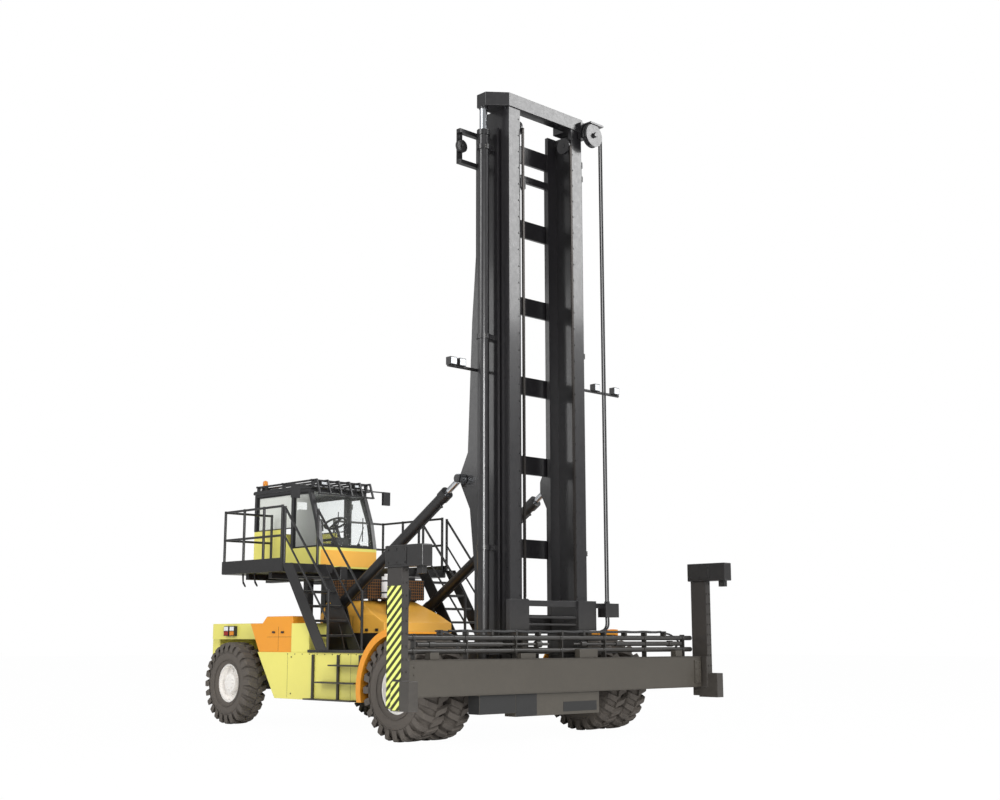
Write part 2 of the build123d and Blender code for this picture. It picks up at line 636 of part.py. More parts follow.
with BuildPart() as cab_roof:
    block((cab_rear_x - 25, cab_roof_front_x + 90), (cab_right_y - 25, cab_left_y + 25), (frame_z0 + 50, cab_top_z))
    chamfer(edges().filter_by(Axis.Y).group_by(Axis.Z)[-1], length=25)
save(cab_roof, "cab_roof")

# Roof guard: cross bars on feet and long bars that bend down ahead of the windscreen
guard_z = cab_top_z + 60
guard_t = 30
guard_rows = 6
guard_front_x = cab_roof_front_x + 120
with BuildPart() as roof_guard:
    for x in (cab_rear_x + 60, (cab_rear_x + cab_roof_front_x) / 2, cab_roof_front_x + 20):
        block((x - 22, x + 22), (cab_right_y - 10, cab_left_y + 10), (guard_z, guard_z + guard_t))
        for y in (cab_right_y + 35, cab_left_y - 35):
            block((x - 22, x + 22), (y - 25, y + 25), (cab_top_z, guard_z))
    for row in range(guard_rows):
        y = cab_right_y + 30 + row * (cab_left_y - cab_right_y - 60) / (guard_rows - 1)
        side_plate([(cab_rear_x + 40, guard_z), (guard_front_x, guard_z), (guard_front_x + 90, guard_z - 230),
                    (guard_front_x + 120, guard_z - 230), (guard_front_x + 20, guard_z + guard_t),
                    (cab_rear_x + 40, guard_z + guard_t)], (y - 14, y + 14))
    block((guard_front_x + 60, guard_front_x + 125), (cab_right_y + 16, cab_left_y - 16), (guard_z - 240, guard_z - 215))
save(roof_guard, "roof_guard")

# Mirror on an arm from the roof's front left corner, and one on the right
mirror_x = cab_roof_front_x + 40
with BuildPart() as mirrors:
    for edge_y, tip_y in ((cab_left_y + 25, cab_left_y + 400), (cab_right_y - 25, cab_right_y - 330)):
        bar_y(mirror_x, cab_top_z - 30, 12, sorted((edge_y, tip_y)))
        block((mirror_x - 25, mirror_x + 25), (tip_y - 75, tip_y + 75), (cab_top_z - 250, cab_top_z - 20))
save(mirrors, "mirrors")

with BuildPart() as cab_glass:
    gz0 = cab_sill_z + 35
    side_plate([(cab_front_x - 30, gz0), (cab_front_x - 30 + glass_t, gz0), (cab_front_x - 110 + glass_t, cab_sill_z + 420),
                (cab_roof_front_x - 30 + glass_t, frame_z0), (cab_roof_front_x - 30, frame_z0),
                (cab_front_x - 110, cab_sill_z + 420)], cab_clear)
    block((cab_rear_x + 30, cab_rear_x + 30 + glass_t), cab_clear, (cab_back_sill_z, frame_z0))
    right_pane = (cab_right_y + 30, cab_right_y + 30 + glass_t)
    left_pane = (cab_left_y - 30 - glass_t, cab_left_y - 30)
    for y in (right_pane, left_pane):
        block((cab_rear_x + cab_pillar, cab_b_pillar_x - cab_pillar / 2), y, (cab_back_sill_z, frame_z0))
    side_plate([(cab_b_pillar_x + cab_pillar / 2, cab_sill_z), (cab_front_x - cab_pillar, cab_sill_z),
                (cab_front_x - 90 - cab_pillar, cab_sill_z + 420), (cab_roof_front_x - cab_pillar, frame_z0),
                (cab_b_pillar_x + cab_pillar / 2, frame_z0)], right_pane)
save(cab_glass, "cab_glass")

# Left door: a frame and pane that fill the opening between the pillars, hinged at its rear edge
door_t = 40
door_x0 = cab_b_pillar_x + cab_pillar / 2 + door_gap
door_z0 = cab_floor_z + cab_wall + door_gap
door_z1 = frame_z0 - door_gap
door_low_x1 = cab_front_x - 120 - door_gap
door_mid_x1 = cab_front_x - 90 - cab_pillar - door_gap - 6
door_top_x1 = cab_roof_front_x - cab_pillar - door_gap - 4
door_y = (cab_left_y - door_t, cab_left_y)
door_outline = [(door_x0, door_z0), (door_low_x1, door_z0), (door_low_x1, cab_sill_z + 200),
                (door_mid_x1, cab_sill_z + 425), (door_top_x1, door_z1), (door_x0, door_z1)]
bar = 55
pane_outline = [(door_x0 + bar, cab_sill_z + 60), (door_low_x1 - bar, cab_sill_z + 60),
                (door_low_x1 - bar, cab_sill_z + 190), (door_mid_x1 - bar, cab_sill_z + 415),
                (door_top_x1 - bar, door_z1 - bar), (door_x0 + bar, door_z1 - bar)]
with BuildPart() as cab_door:
    side_plate(door_outline, door_y)
    side_plate(pane_outline, (door_y[0] - 1, door_y[1] + 1), mode=Mode.SUBTRACT)
    block((door_low_x1 - 130, door_low_x1 - 60), (cab_left_y, cab_left_y + 30), (cab_sill_z - 60, cab_sill_z - 20))
    for z in hinge_heights:
        bar_z(hinge_x, hinge_y, hinge_pin_r + 8, (z, z + hinge_len))
        block((hinge_x, door_x0 + 60), (cab_left_y, hinge_y - 2), (z, z + hinge_len))
        bar_z(hinge_x, hinge_y, hinge_pin_r + shaft_clear, (z - 1, z + hinge_len + 1), mode=Mode.SUBTRACT)
save(cab_door, "cab_door")
with BuildPart() as door_glass:
    side_plate(pane_outline, (door_y[0] + 15, door_y[0] + 15 + glass_t))
save(door_glass, "door_glass")

seat_x = cab_b_pillar_x - 180
seat_y = (cab_left_y + cab_right_y) / 2
with BuildPart() as seat:
    block((seat_x - 200, seat_x + 260), (seat_y - 240, seat_y + 240), (cab_floor_z + cab_wall + 300, cab_floor_z + cab_wall + 420))
    side_plate([(seat_x - 280, cab_floor_z + cab_wall + 380), (seat_x - 160, cab_floor_z + cab_wall + 380),
                (seat_x - 230, cab_floor_z + cab_wall + 1000), (seat_x - 330, cab_floor_z + cab_wall + 1000)],
               (seat_y - 220, seat_y + 220))
    block((seat_x - 150, seat_x + 200), (seat_y - 190, seat_y + 190), (cab_floor_z + cab_wall, cab_floor_z + cab_wall + 300))
save(seat, "seat")
with BuildPart() as console:
    column_foot = (cab_front_x - 255, seat_y, cab_floor_z + 500)
    column_top = (cab_front_x - 380, seat_y, cab_floor_z + 760)
    block((cab_front_x - 330, cab_front_x - 180), (seat_y - 130, seat_y + 130), (cab_floor_z + cab_wall, cab_floor_z + 520))
    bar_between(column_foot, column_top, 28)
    with BuildSketch(Plane(origin=column_top, z_dir=Vector(*column_top) - Vector(*column_foot))):
        Circle(200)
        Circle(172, mode=Mode.SUBTRACT)
        Rectangle(350, 34)
    extrude(amount=26)
save(console, "steering_console")

# Outer mast: two columns with tapered plates, crossbars, claws round the axle and tilt lugs
outer_front_x = mast_rear_x + outer_depth
claw_r = axle_tube_r + shaft_clear
outer_bars = [1560, 2650, 3880, 5070, 6290, 7500]
with BuildPart() as outer_mast:
    web = [(outer_front_x, outer_z0 + 160), (outer_front_x, outer_z1), (mast_rear_x, outer_z1), (mast_rear_x, 6900),
           (mast_rear_x - 80, 5900), (mast_rear_x - 165, 4000), (tilt_lug_x - 75, tilt_lug_z + 90),
           (tilt_lug_x - 75, tilt_lug_z - 70), (mast_rear_x - 120, 3180), (mast_rear_x - 20, 2300),
           (mast_rear_x - 20, 1300), (front_x - 230, front_z + 120), (front_x - 230, front_z - 160),
           (mast_rear_x + 160, outer_z0)]
    web_y = (outer_half_w - outer_web_t, outer_half_w)
    side_plate(web, web_y)
    block((mast_rear_x, mast_rear_x + outer_flange_t), (outer_half_w - outer_flange_w, outer_half_w),
          (1150, outer_z1))
    bar_y(tilt_lug_x, tilt_lug_z, tilt_pin_r, (outer_half_w - 10, tilt_y + 82))
    bar_y(tilt_lug_x, tilt_lug_z, tilt_pin_r + 20, (tilt_y + 66, tilt_y + 78))
    block((lift_x - 100, lift_x + 100), (outer_half_w - 1, lift_y + 90), (lift_z0 - 60, lift_z0))
    bar_y(front_x, front_z, claw_r + 75, (outer_half_w - outer_web_t, outer_half_w + 90))
    bar_y(front_x, front_z, claw_r, (outer_half_w - outer_web_t - 1, outer_half_w + 91), mode=Mode.SUBTRACT)
    mirror(about=Plane.XZ)
    for z in outer_bars:
        block((mast_rear_x, mast_rear_x + outer_flange_t), (-outer_half_w + 30, outer_half_w - 30),
              (z - crossbar_h / 2, z + crossbar_h / 2))
    for sign in (-1, 1):
        block((inner_rear_x + 60, outer_front_x - 40), sorted((sign * (inner_half_w + seat_gap), sign * (outer_half_w - 20))),
              (outer_z1 - 310, outer_z1 - 60))
        block((mast_rear_x + 20, inner_rear_x - seat_gap), sorted((sign * 610, sign * (inner_half_w - 20))),
              (outer_z1 - 310, outer_z1 - 60))
save(outer_mast, "outer_mast")

# Lift cylinder barrels stand on brackets outside the columns, held by clamps
gland_h = 80
with BuildPart() as lift_barrels:
    for sign in (-1, 1):
        y = sign * lift_y
        bar_z(lift_x, y, lift_barrel_r, (lift_z0, lift_z1 - gland_h))
        bar_z(lift_x, y, lift_barrel_r + 14, (lift_z1 - gland_h, lift_z1))
        for z in (2600, 5600, 8435):
            block((lift_x - 70, lift_x + 70), sorted((sign * outer_half_w, y)), (z - 35, z + 35))
            bar_z(lift_x, y, lift_barrel_r + 16, (z - 35, z + 35))
        bar_z(lift_x, y, lift_rod_r + 6, (lift_z0 + 40, lift_z1 - gland_h), mode=Mode.SUBTRACT)
        bar_z(lift_x, y, lift_rod_r + shaft_clear, (lift_z1 - gland_h - 1, lift_z1 + 1), mode=Mode.SUBTRACT)
save(lift_barrels, "lift_barrels")

# Inner mast: two channel columns open to the middle, crossbars and slide pads
inner_bars = [(1560, 270), (8260, 110), (8640, 270)]     # middle height, depth
with BuildPart() as inner_mast:
    column = [(inner_half_w - inner_col_w, inner_rear_x), (inner_half_w, inner_rear_x), (inner_half_w, inner_front_x),
              (inner_half_w - inner_col_w, inner_front_x)]
    block((inner_rear_x, inner_front_x), (inner_half_w - inner_col_w, inner_half_w), (inner_z0, inner_z1))
    block((inner_rear_x + inner_flange_t, inner_front_x - inner_flange_t),
          (inner_half_w - inner_col_w - 1, inner_half_w - inner_web_t), (inner_z0 - 1, inner_z1 + 1), mode=Mode.SUBTRACT)
    mirror(about=Plane.XZ)
    for z, depth in inner_bars:
        block((inner_rear_x, inner_rear_x + 45), (-inner_half_w + 30, inner_half_w - 30), (z - depth / 2, z + depth / 2))
    for sign in (-1, 1):
        block((inner_rear_x + 60, outer_front_x - 40),
              sorted((sign * (inner_half_w - 5), sign * (outer_half_w - outer_web_t - seat_gap))),
              (inner_z0 + 240, inner_z0 + 490))
        bar_y(chain_wheel_x, chain_wheel_z, chain_wheel_r, sorted((sign * (chain_y - 20), sign * (chain_y + 20))))
        bar_y(chain_wheel_x, chain_wheel_z, 30,
              sorted((sign * (chain_y - 28), sign * (inner_half_w - inner_web_t + 5))))
save(inner_mast, "inner_mast")

# Top beam of the inner mast, with side blocks over the lift rods
top_front_x = inner_front_x + 18
top_side_y = lift_y + 60
with BuildPart() as top_beam:
    with BuildSketch(Plane.XY.offset(inner_z1)):
        with BuildLine():
            Polyline((lift_x - 80, 560), (lift_x - 80, top_side_y), (lift_x + 110, top_side_y),
                     (top_front_x, inner_half_w + 12), (top_front_x, -inner_half_w - 12), (lift_x + 110, -top_side_y),
                     (lift_x - 80, -top_side_y), (lift_x - 80, -560), (lift_x + 150, -560), (lift_x + 150, 560),
                     close=True)
        make_face()
    extrude(amount=top_beam_h)
save(top_beam, "top_beam")
with BuildPart() as lift_rods:
    for sign in (-1, 1):
        bar_z(lift_x, sign * lift_y, lift_rod_r, (lift_z0 + 60, inner_z1))
save(lift_rods, "lift_rods")

# Hose sheave on the top beam's left, under a guard
sheave = Vector(front_x + 900, outer_half_w + 40, 8990)
sheave_r = 165
with BuildPart() as hose_sheave:
    bar_x(sheave.Y, sheave.Z, sheave_r, (sheave.X - 45, sheave.X + 45))
    bar_x(sheave.Y, sheave.Z, 34, (sheave.X - 65, sheave.X + 60))
    block((top_front_x, sheave.X - 55), (inner_half_w - 90, sheave.Y + 50), (sheave.Z - 60, inner_z1 + 130))
    block((sheave.X - 75, sheave.X + 60), (sheave.Y - 90, sheave.Y + 200), (sheave.Z + sheave_r + 10, sheave.Z + sheave_r + 40))
    block((sheave.X - 75, sheave.X - 55), (sheave.Y - 90, sheave.Y + 40), (sheave.Z + 60, sheave.Z + sheave_r + 12))
save(hose_sheave, "hose_sheave")

# Lift chains and hoses hang from the upper mast to the carriage
hose_top_z = sheave.Z - 30
hose_foot_z = 1860
with BuildPart() as lift_chains:
    for sign in (-1, 1):
        block((chain_x - chain_half_t, chain_x + chain_half_t), sorted((sign * (chain_y - 18), sign * (chain_y + 18))),
              (carriage_z1 + seat_gap, chain_wheel_z))
save(lift_chains, "lift_chains")
with BuildPart() as lift_hoses:
    for offset in (-22, 22):
        bar_z(sheave.X + offset, sheave.Y + sheave_r + 16, 15, (hose_foot_z, hose_top_z))
save(lift_hoses, "lift_hoses")

# Arms on the outer mast: two lamp arms and a guide bracket with its small sheave
arm_x = mast_rear_x + 200
arm_z = 5130
lamp_half_w = 60
guide_z = (8220, 8690)
guide_y = -outer_half_w - 400
with BuildPart() as mast_arms:
    bar_y(arm_x, arm_z, 22, (-1560, -outer_half_w))
    bar_y(arm_x, arm_z, 22, (outer_half_w, 2050))
    for y in (-1500, -1330, 1500, 1950):
        block((arm_x - 40, arm_x + 60), (y - lamp_half_w, y + lamp_half_w), (arm_z + 10, arm_z + 120))
    for z in guide_z:
        block((mast_rear_x + 60, mast_rear_x + 140), (guide_y - 50, -outer_half_w), (z - 30, z + 30))
    block((mast_rear_x + 60, mast_rear_x + 80), (guide_y - 50, guide_y + 50), guide_z)
    bar_x(guide_y, sum(guide_z) / 2, 95, (mast_rear_x + 90, mast_rear_x + 140))
    bar_x(guide_y, sum(guide_z) / 2, 24, (mast_rear_x + 70, mast_rear_x + 155))
save(mast_arms, "mast_arms")

# Carriage: two cheeks between the columns with rollers, bars, brackets and rails for the side shift
roller_x = (inner_rear_x + inner_front_x) / 2
roller_fit_r = (inner_front_x - inner_rear_x - 2 * inner_flange_t) / 2 - seat_gap
face_x = inner_front_x + 60
roller_z = [carriage_z0 + 240, carriage_z1 - 240]
shift_rails = [1180, 1360]
shift_rail_h = 70
shift_rail_half = 1300
carriage_bars = [(890, 90), (1550, 24), (1650, 30), (carriage_z1 - 60, 80)]     # middle height, depth
with BuildPart() as carriage:
    for sign in (-1, 1):
        block((inner_rear_x + 120, face_x), sorted((sign * (carriage_cheek_y - carriage_cheek_t), sign * carriage_cheek_y)),
              (carriage_z0, carriage_z1))
        for z in roller_z:
            bar_y(roller_x, z, roller_fit_r,
                  sorted((sign * (inner_half_w - inner_col_w + 20), sign * (inner_half_w - inner_web_t - 5))))
            bar_y(roller_x, z, 60, sorted((sign * (carriage_cheek_y - 5), sign * (inner_half_w - inner_col_w + 25))))
        block((face_x - 40, face_x + 30), sorted((sign * (carriage_cheek_y - 20), sign * (carriage_cheek_y + 360))),
              (shift_rails[1] + 110, carriage_z1 - 10))
    for z, depth in carriage_bars:
        block((face_x - 60, face_x), (-carriage_cheek_y, carriage_cheek_y), (z - depth / 2, z + depth / 2))
    for z in shift_rails:
        block((face_x, face_x + 60), (-shift_rail_half, shift_rail_half), (z - shift_rail_h / 2, z + shift_rail_h / 2))
    block((face_x - 30, face_x + 20), (carriage_cheek_y + 350, shift_rail_half - 30), (hose_foot_z - 70, hose_foot_z))
    block((face_x - 30, sheave.X + 45), (shift_rail_half - 320, shift_rail_half - 30), (hose_foot_z - 200, hose_foot_z))
save(carriage, "carriage")

# Spreader: hollow main beam with two channels side by side, one for each telescopic beam
beam_rear_x = spreader_front_x - spreader_depth
wall = spreader_wall
channel_w = (spreader_depth - 3 * wall) / 2
front_channel = (spreader_front_x - wall - channel_w, spreader_front_x - wall)
rear_channel = (beam_rear_x + wall, beam_rear_x + wall + channel_w)
under_boxes = [(-1000, 660, 330), (-1660, -1000, 380)]     # right end, left end, foot
with BuildPart() as spreader_beam:
    block((beam_rear_x, spreader_front_x), (-spreader_half, spreader_half), (spreader_z0, spreader_z1))
    for xs in (front_channel, rear_channel):
        block(xs, (-spreader_half - 1, spreader_half + 1), (spreader_z0 + wall, spreader_z1 - wall), mode=Mode.SUBTRACT)
    hang_x = face_x + 60 + seat_gap
    for sign in (-1, 1):
        y = sorted((sign * 620, sign * 700))
        block((hang_x, hang_x + 40), y, (spreader_z1, shift_rails[1] + shift_rail_h / 2 + 45))
        for z in (shift_rails[0] + shift_rail_h / 2 + seat_gap, shift_rails[1] + shift_rail_h / 2 + seat_gap):
            block((face_x + 5, hang_x + 10), y, (z, z + 35))
    for low, high, foot in under_boxes:
        block((spreader_front_x - 250, spreader_front_x - 40), (low, high), (foot, spreader_z0))
    for xs, sign in ((front_channel, -1), (rear_channel, 1)):
        pad_y = sorted((sign * (spreader_half - 120), sign * spreader_half))
        block(xs, pad_y, (spreader_z0 + wall, spreader_z0 + wall + tele_gap - seat_gap))
        block(xs, pad_y, (spreader_z1 - wall - tele_gap + seat_gap, spreader_z1 - wall))
save(spreader_beam, "spreader_beam")

# Rack on the main beam: two tubes on upright plates, with the telescope cylinders between them
rack_x = spreader_front_x - 155
rack_tubes = [1195, 1365]
rack_tube_r = 35
rack_pitch = (spreader_half - 250) / 3
rack_cylinder_y = (1150, spreader_half - 300)
with BuildPart() as rack:
    for z in rack_tubes:
        bar_y(rack_x, z, rack_tube_r, (100 - spreader_half, spreader_half - 50))
    for step in range(-3, 4):
        y = step * rack_pitch
        block((rack_x - 40, rack_x + 40), (y - 9, y + 9), (spreader_z1, rack_tubes[1] + rack_tube_r + 15))
    for sign in (-1, 1):
        bar_y(rack_x, sum(rack_tubes) / 2, 34, sorted((sign * rack_cylinder_y[0], sign * rack_cylinder_y[1])))
        bar_y(rack_x, sum(rack_tubes) / 2, 20, sorted((sign * 250, sign * rack_cylinder_y[0])))
save(rack, "spreader_rack")

tele_len = 5300
channels = {"right": front_channel, "left": rear_channel}
for side, sign in sides:
    xs = (channels[side][0] + tele_gap, channels[side][1] - tele_gap)
    post_x = (spreader_front_x + post_proud - post_depth, spreader_front_x + post_proud)
    with BuildPart() as arm:
        block(xs, sorted((sign * (post_outer_y - tele_len), sign * post_inner_y)),
              (spreader_z0 + wall + tele_gap, spreader_z1 - wall - tele_gap))
        block((xs[0] + wall, xs[1] - wall), sorted((sign * (post_outer_y - tele_len - 1), sign * (post_inner_y - 40))),
              (spreader_z0 + 2 * wall + tele_gap, spreader_z1 - 2 * wall - tele_gap), mode=Mode.SUBTRACT)
        block((beam_rear_x + 10, post_x[1]), sorted((sign * (post_inner_y - end_plate_t), sign * post_inner_y)),
              (spreader_z0, spreader_z1))
        block(post_x, sorted((sign * post_inner_y, sign * post_outer_y)), (post_z0, post_z1))
        block((spreader_front_x - 70, spreader_front_x + 280),
              sorted((sign * (post_inner_y - 10), sign * (post_outer_y + 25))), (post_z0 - 20, post_z0 + 340))
    save(arm, f"telescope_{side}")
    with BuildPart() as head:
        block((post_x[0] - 30, spreader_front_x + head_proud),
              sorted((sign * (post_inner_y - 40), sign * (post_outer_y + 20))), (post_z1, head_z1))
    save(head, f"hook_head_{side}")

# Tilt cylinders: a barrel on the chassis pin and a rod on the mast lug, along one line
run = Vector(tilt_lug_x - tilt_base_x, 0, tilt_lug_z - tilt_base_z)
along = run.normalized()
tilt_barrel_len = run.length - tilt_exposed_rod
for side, sign in sides:
    base = Vector(tilt_base_x, sign * tilt_y, tilt_base_z)
    tip = Vector(tilt_lug_x, sign * tilt_y, tilt_lug_z)
    with BuildPart() as barrel:
        start = base + along * 30
        end = base + along * tilt_barrel_len
        bar_between(start, end, tilt_barrel_r)
        bar_y(tilt_base_x, tilt_base_z, 78, (base.Y - 58, base.Y + 58))
        bar_between(base + along * 1500, base + along * (tilt_barrel_len - 60), tilt_rod_r + 4, mode=Mode.SUBTRACT)
        bar_between(base + along * (tilt_barrel_len - 61), base + along * (tilt_barrel_len + 10),
                    tilt_rod_r + shaft_clear, mode=Mode.SUBTRACT)
        bar_y(tilt_base_x, tilt_base_z, tilt_pin_r + shaft_clear, (base.Y - 90, base.Y + 90), mode=Mode.SUBTRACT)
    save(barrel, f"tilt_barrel_{side}")
    with BuildPart() as rod:
        bar_between(base + along * 1900, tip - along * 50, tilt_rod_r)
        bar_y(tilt_lug_x, tilt_lug_z, 70, (tip.Y - 58, tip.Y + 58))
        bar_y(tilt_lug_x, tilt_lug_z, tilt_pin_r + eye_play, (tip.Y - 60, tip.Y + 60), mode=Mode.SUBTRACT)
    save(rod, f"tilt_rod_{side}")
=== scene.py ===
import math

import bmesh
import bpy
import numpy as np
from mathutils import Matrix, Vector


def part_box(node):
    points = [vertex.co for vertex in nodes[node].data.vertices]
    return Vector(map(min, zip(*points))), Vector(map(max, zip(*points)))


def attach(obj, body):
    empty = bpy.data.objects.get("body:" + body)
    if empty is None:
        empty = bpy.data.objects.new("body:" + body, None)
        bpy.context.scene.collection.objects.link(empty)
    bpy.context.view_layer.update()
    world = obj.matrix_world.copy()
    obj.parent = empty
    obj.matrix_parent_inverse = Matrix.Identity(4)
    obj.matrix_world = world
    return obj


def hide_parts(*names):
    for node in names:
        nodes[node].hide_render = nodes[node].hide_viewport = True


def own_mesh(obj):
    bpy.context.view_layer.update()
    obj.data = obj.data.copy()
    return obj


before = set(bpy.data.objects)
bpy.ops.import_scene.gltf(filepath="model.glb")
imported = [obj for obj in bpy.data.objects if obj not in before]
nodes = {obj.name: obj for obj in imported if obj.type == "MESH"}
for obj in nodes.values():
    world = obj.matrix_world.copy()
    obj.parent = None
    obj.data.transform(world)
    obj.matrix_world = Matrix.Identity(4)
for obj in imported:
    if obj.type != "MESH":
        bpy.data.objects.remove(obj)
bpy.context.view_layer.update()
scene = bpy.context.scene
print("frame loaded:", len(nodes), "solids")


# Colours and materials

def linear(hexColour):
    # sRGB hex to linear red, green, blue and alpha 1
    parts = [int(hexColour[i:i + 2], 16) / 255 for i in (1, 3, 5)]
    return [p / 12.92 if p <= 0.04045 else ((p + 0.055) / 1.055) ** 2.4 for p in parts] + [1]


def addNode(tree, kind, inputs=None, **settings):
    # one node with its own settings; each input is a constant or the socket that feeds it
    made = tree.nodes.new(kind)
    for key, value in settings.items():
        setattr(made, key, value)
    for name, value in (inputs or {}).items():
        if isinstance(value, bpy.types.NodeSocket):
            tree.links.new(value, made.inputs[name])
        else:
            made.inputs[name].default_value = value
    return made


def perMetre(millimetres):
    # pattern scale on Object coordinates, in repeats per metre, for a feature of that real size
    return 1000 / millimetres


def startMaterial(name):
    material = bpy.data.materials.new(name)
    material.use_nodes = True
    tree = material.node_tree
    tree.nodes.clear()
    place = addNode(tree, "ShaderNodeTexCoord").outputs["Object"]
    return material, tree, place


def finishMaterial(material, tree, shader):
    addNode(tree, "ShaderNodeOutputMaterial", {"Surface": shader.outputs[0]})
    return material


def sprayedEnamel(name, colour, dusty="#a89f8c", gloss=0.32, dust=0.28, coat=0.35, faded=0.06, worn=0.0):
    # two-pack enamel sprayed on welded plate: even colour, faint orange peel of 4 mm, slow fading over about
    # a metre, dust that lies in the lowest two metres, and rub marks of about 30 mm where worn is above 0
    material, tree, place = startMaterial(name)
    fade = addNode(tree, "ShaderNodeTexNoise", {"Vector": place, "Scale": perMetre(900), "Detail": 3})
    tone = addNode(tree, "ShaderNodeMapRange", {"Value": fade.outputs["Fac"], "From Min": 0.3,
                                                "From Max": 0.7, "To Min": 1 - faded, "To Max": 1 + faded})
    hue = addNode(tree, "ShaderNodeHueSaturation", {"Color": linear(colour), "Value": tone.outputs["Result"]})
    height = addNode(tree, "ShaderNodeSeparateXYZ", {"Vector": place})
    low = addNode(tree, "ShaderNodeMapRange", {"Value": height.outputs["Z"], "From Min": 0.2, "From Max": 1.9,
                                               "To Min": 1, "To Max": 0})
    specks = addNode(tree, "ShaderNodeTexNoise", {"Vector": place, "Scale": perMetre(60), "Detail": 6,
                                                  "Roughness": 0.7})
    dirt = addNode(tree, "ShaderNodeMath", {0: low.outputs["Result"], 1: specks.outputs["Fac"]},
                   operation="MULTIPLY")
    share = addNode(tree, "ShaderNodeMath", {0: dirt.outputs[0], 1: dust}, operation="MULTIPLY")
    colourMix = addNode(tree, "ShaderNodeMix", {"Factor": share.outputs[0], 6: hue.outputs["Color"],
                                                7: linear(dusty)}, data_type="RGBA")
    rough = addNode(tree, "ShaderNodeMapRange", {"Value": specks.outputs["Fac"], "From Min": 0.3,
                                                 "From Max": 0.75, "To Min": gloss,
                                                 "To Max": gloss + 0.16 + worn})
    peel = addNode(tree, "ShaderNodeTexNoise", {"Vector": place, "Scale": perMetre(4), "Detail": 1})
    bump = addNode(tree, "ShaderNodeBump", {"Height": peel.outputs["Fac"], "Strength": 0.06,
                                            "Distance": 0.0004})
    shader = addNode(tree, "ShaderNodeBsdfPrincipled",
                     {"Base Color": colourMix.outputs[2], "Roughness": rough.outputs["Result"],
                      "Normal": bump.outputs["Normal"], "Coat Weight": coat, "Coat Roughness": 0.12,
                      "IOR": 1.5})
    return finishMaterial(material, tree, shader)


def plainMaterial(name, colour, roughness, metallic=0.0, grain=20, bumpHeight=0.0003, spread=0.1):
    # a base for moulded, cast or plated surfaces: one colour with fine mottling of the given grain
    material, tree, place = startMaterial(name)
    mottle = addNode(tree, "ShaderNodeTexNoise", {"Vector": place, "Scale": perMetre(grain), "Detail": 5})
    tone = addNode(tree, "ShaderNodeMapRange", {"Value": mottle.outputs["Fac"], "From Min": 0.3,
                                                "From Max": 0.7, "To Min": 1 - spread, "To Max": 1 + spread})
    hue = addNode(tree, "ShaderNodeHueSaturation", {"Color": linear(colour), "Value": tone.outputs["Result"]})
    rough = addNode(tree, "ShaderNodeMapRange", {"Value": mottle.outputs["Fac"], "From Min": 0.3,
                                                 "From Max": 0.7, "To Min": roughness * 0.85,
                                                 "To Max": min(1, roughness * 1.15)})
    bump = addNode(tree, "ShaderNodeBump", {"Height": mottle.outputs["Fac"], "Strength": 0.4,
                                            "Distance": bumpHeight})
    shader = addNode(tree, "ShaderNodeBsdfPrincipled",
                     {"Base Color": hue.outputs["Color"], "Roughness": rough.outputs["Result"],
                      "Normal": bump.outputs["Normal"], "Metallic": metallic})
    return finishMaterial(material, tree, shader)


def treadPlate(name, colour):
    # rolled chequer plate under enamel: raised lozenges about 30 mm apart, paler where boots wear their tops
    material, tree, place = startMaterial(name)
    turned = addNode(tree, "ShaderNodeMapping", {"Vector": place, "Rotation": (0, 0, math.radians(45))})
    cells = addNode(tree, "ShaderNodeTexVoronoi", {"Vector": turned.outputs[0], "Scale": perMetre(30),
                                                   "Randomness": 0.0}, voronoi_dimensions="2D")
    raised = addNode(tree, "ShaderNodeMapRange", {"Value": cells.outputs["Distance"], "From Min": 0.28,
                                                  "From Max": 0.36, "To Min": 1, "To Max": 0})
    bump = addNode(tree, "ShaderNodeBump", {"Height": raised.outputs["Result"], "Strength": 0.8,
                                            "Distance": 0.0015})
    tone = addNode(tree, "ShaderNodeMapRange", {"Value": raised.outputs["Result"], "To Min": 1.0,
                                                "To Max": 1.7})
    hue = addNode(tree, "ShaderNodeHueSaturation", {"Color": linear(colour), "Value": tone.outputs["Result"]})
    shader = addNode(tree, "ShaderNodeBsdfPrincipled",
                     {"Base Color": hue.outputs["Color"], "Roughness": 0.45,
                      "Normal": bump.outputs["Normal"]})
    return finishMaterial(material, tree, shader)


def hazardStripes(name, pale, dark, period, slope):
    # reflective tape with sloping stripes: the band number is (z - slope * x) / period, in metres
    material, tree, place = startMaterial(name)
    axes = addNode(tree, "ShaderNodeSeparateXYZ", {"Vector": place})
    along = addNode(tree, "ShaderNodeMath", {0: axes.outputs["X"], 1: slope}, operation="MULTIPLY")
    level = addNode(tree, "ShaderNodeMath", {0: axes.outputs["Z"], 1: along.outputs[0]}, operation="SUBTRACT")
    bands = addNode(tree, "ShaderNodeMath", {0: level.outputs[0], 1: 1 / period}, operation="MULTIPLY")
    part = addNode(tree, "ShaderNodeMath", {0: bands.outputs[0]}, operation="FRACT")
    stripe = addNode(tree, "ShaderNodeMath", {0: part.outputs[0], 1: 0.5}, operation="GREATER_THAN")
    colour = addNode(tree, "ShaderNodeMix", {"Factor": stripe.outputs[0], 6: linear(pale), 7: linear(dark)},
                     data_type="RGBA")
    beads = addNode(tree, "ShaderNodeTexNoise", {"Vector": place, "Scale": perMetre(3), "Detail": 2})
    bump = addNode(tree, "ShaderNodeBump", {"Height": beads.outputs["Fac"], "Strength": 0.1,
                                            "Distance": 0.0001})
    shader = addNode(tree, "ShaderNodeBsdfPrincipled", {"Base Color": colour.outputs[2], "Roughness": 0.4,
                                                        "Normal": bump.outputs["Normal"]})
    return finishMaterial(material, tree, shader)


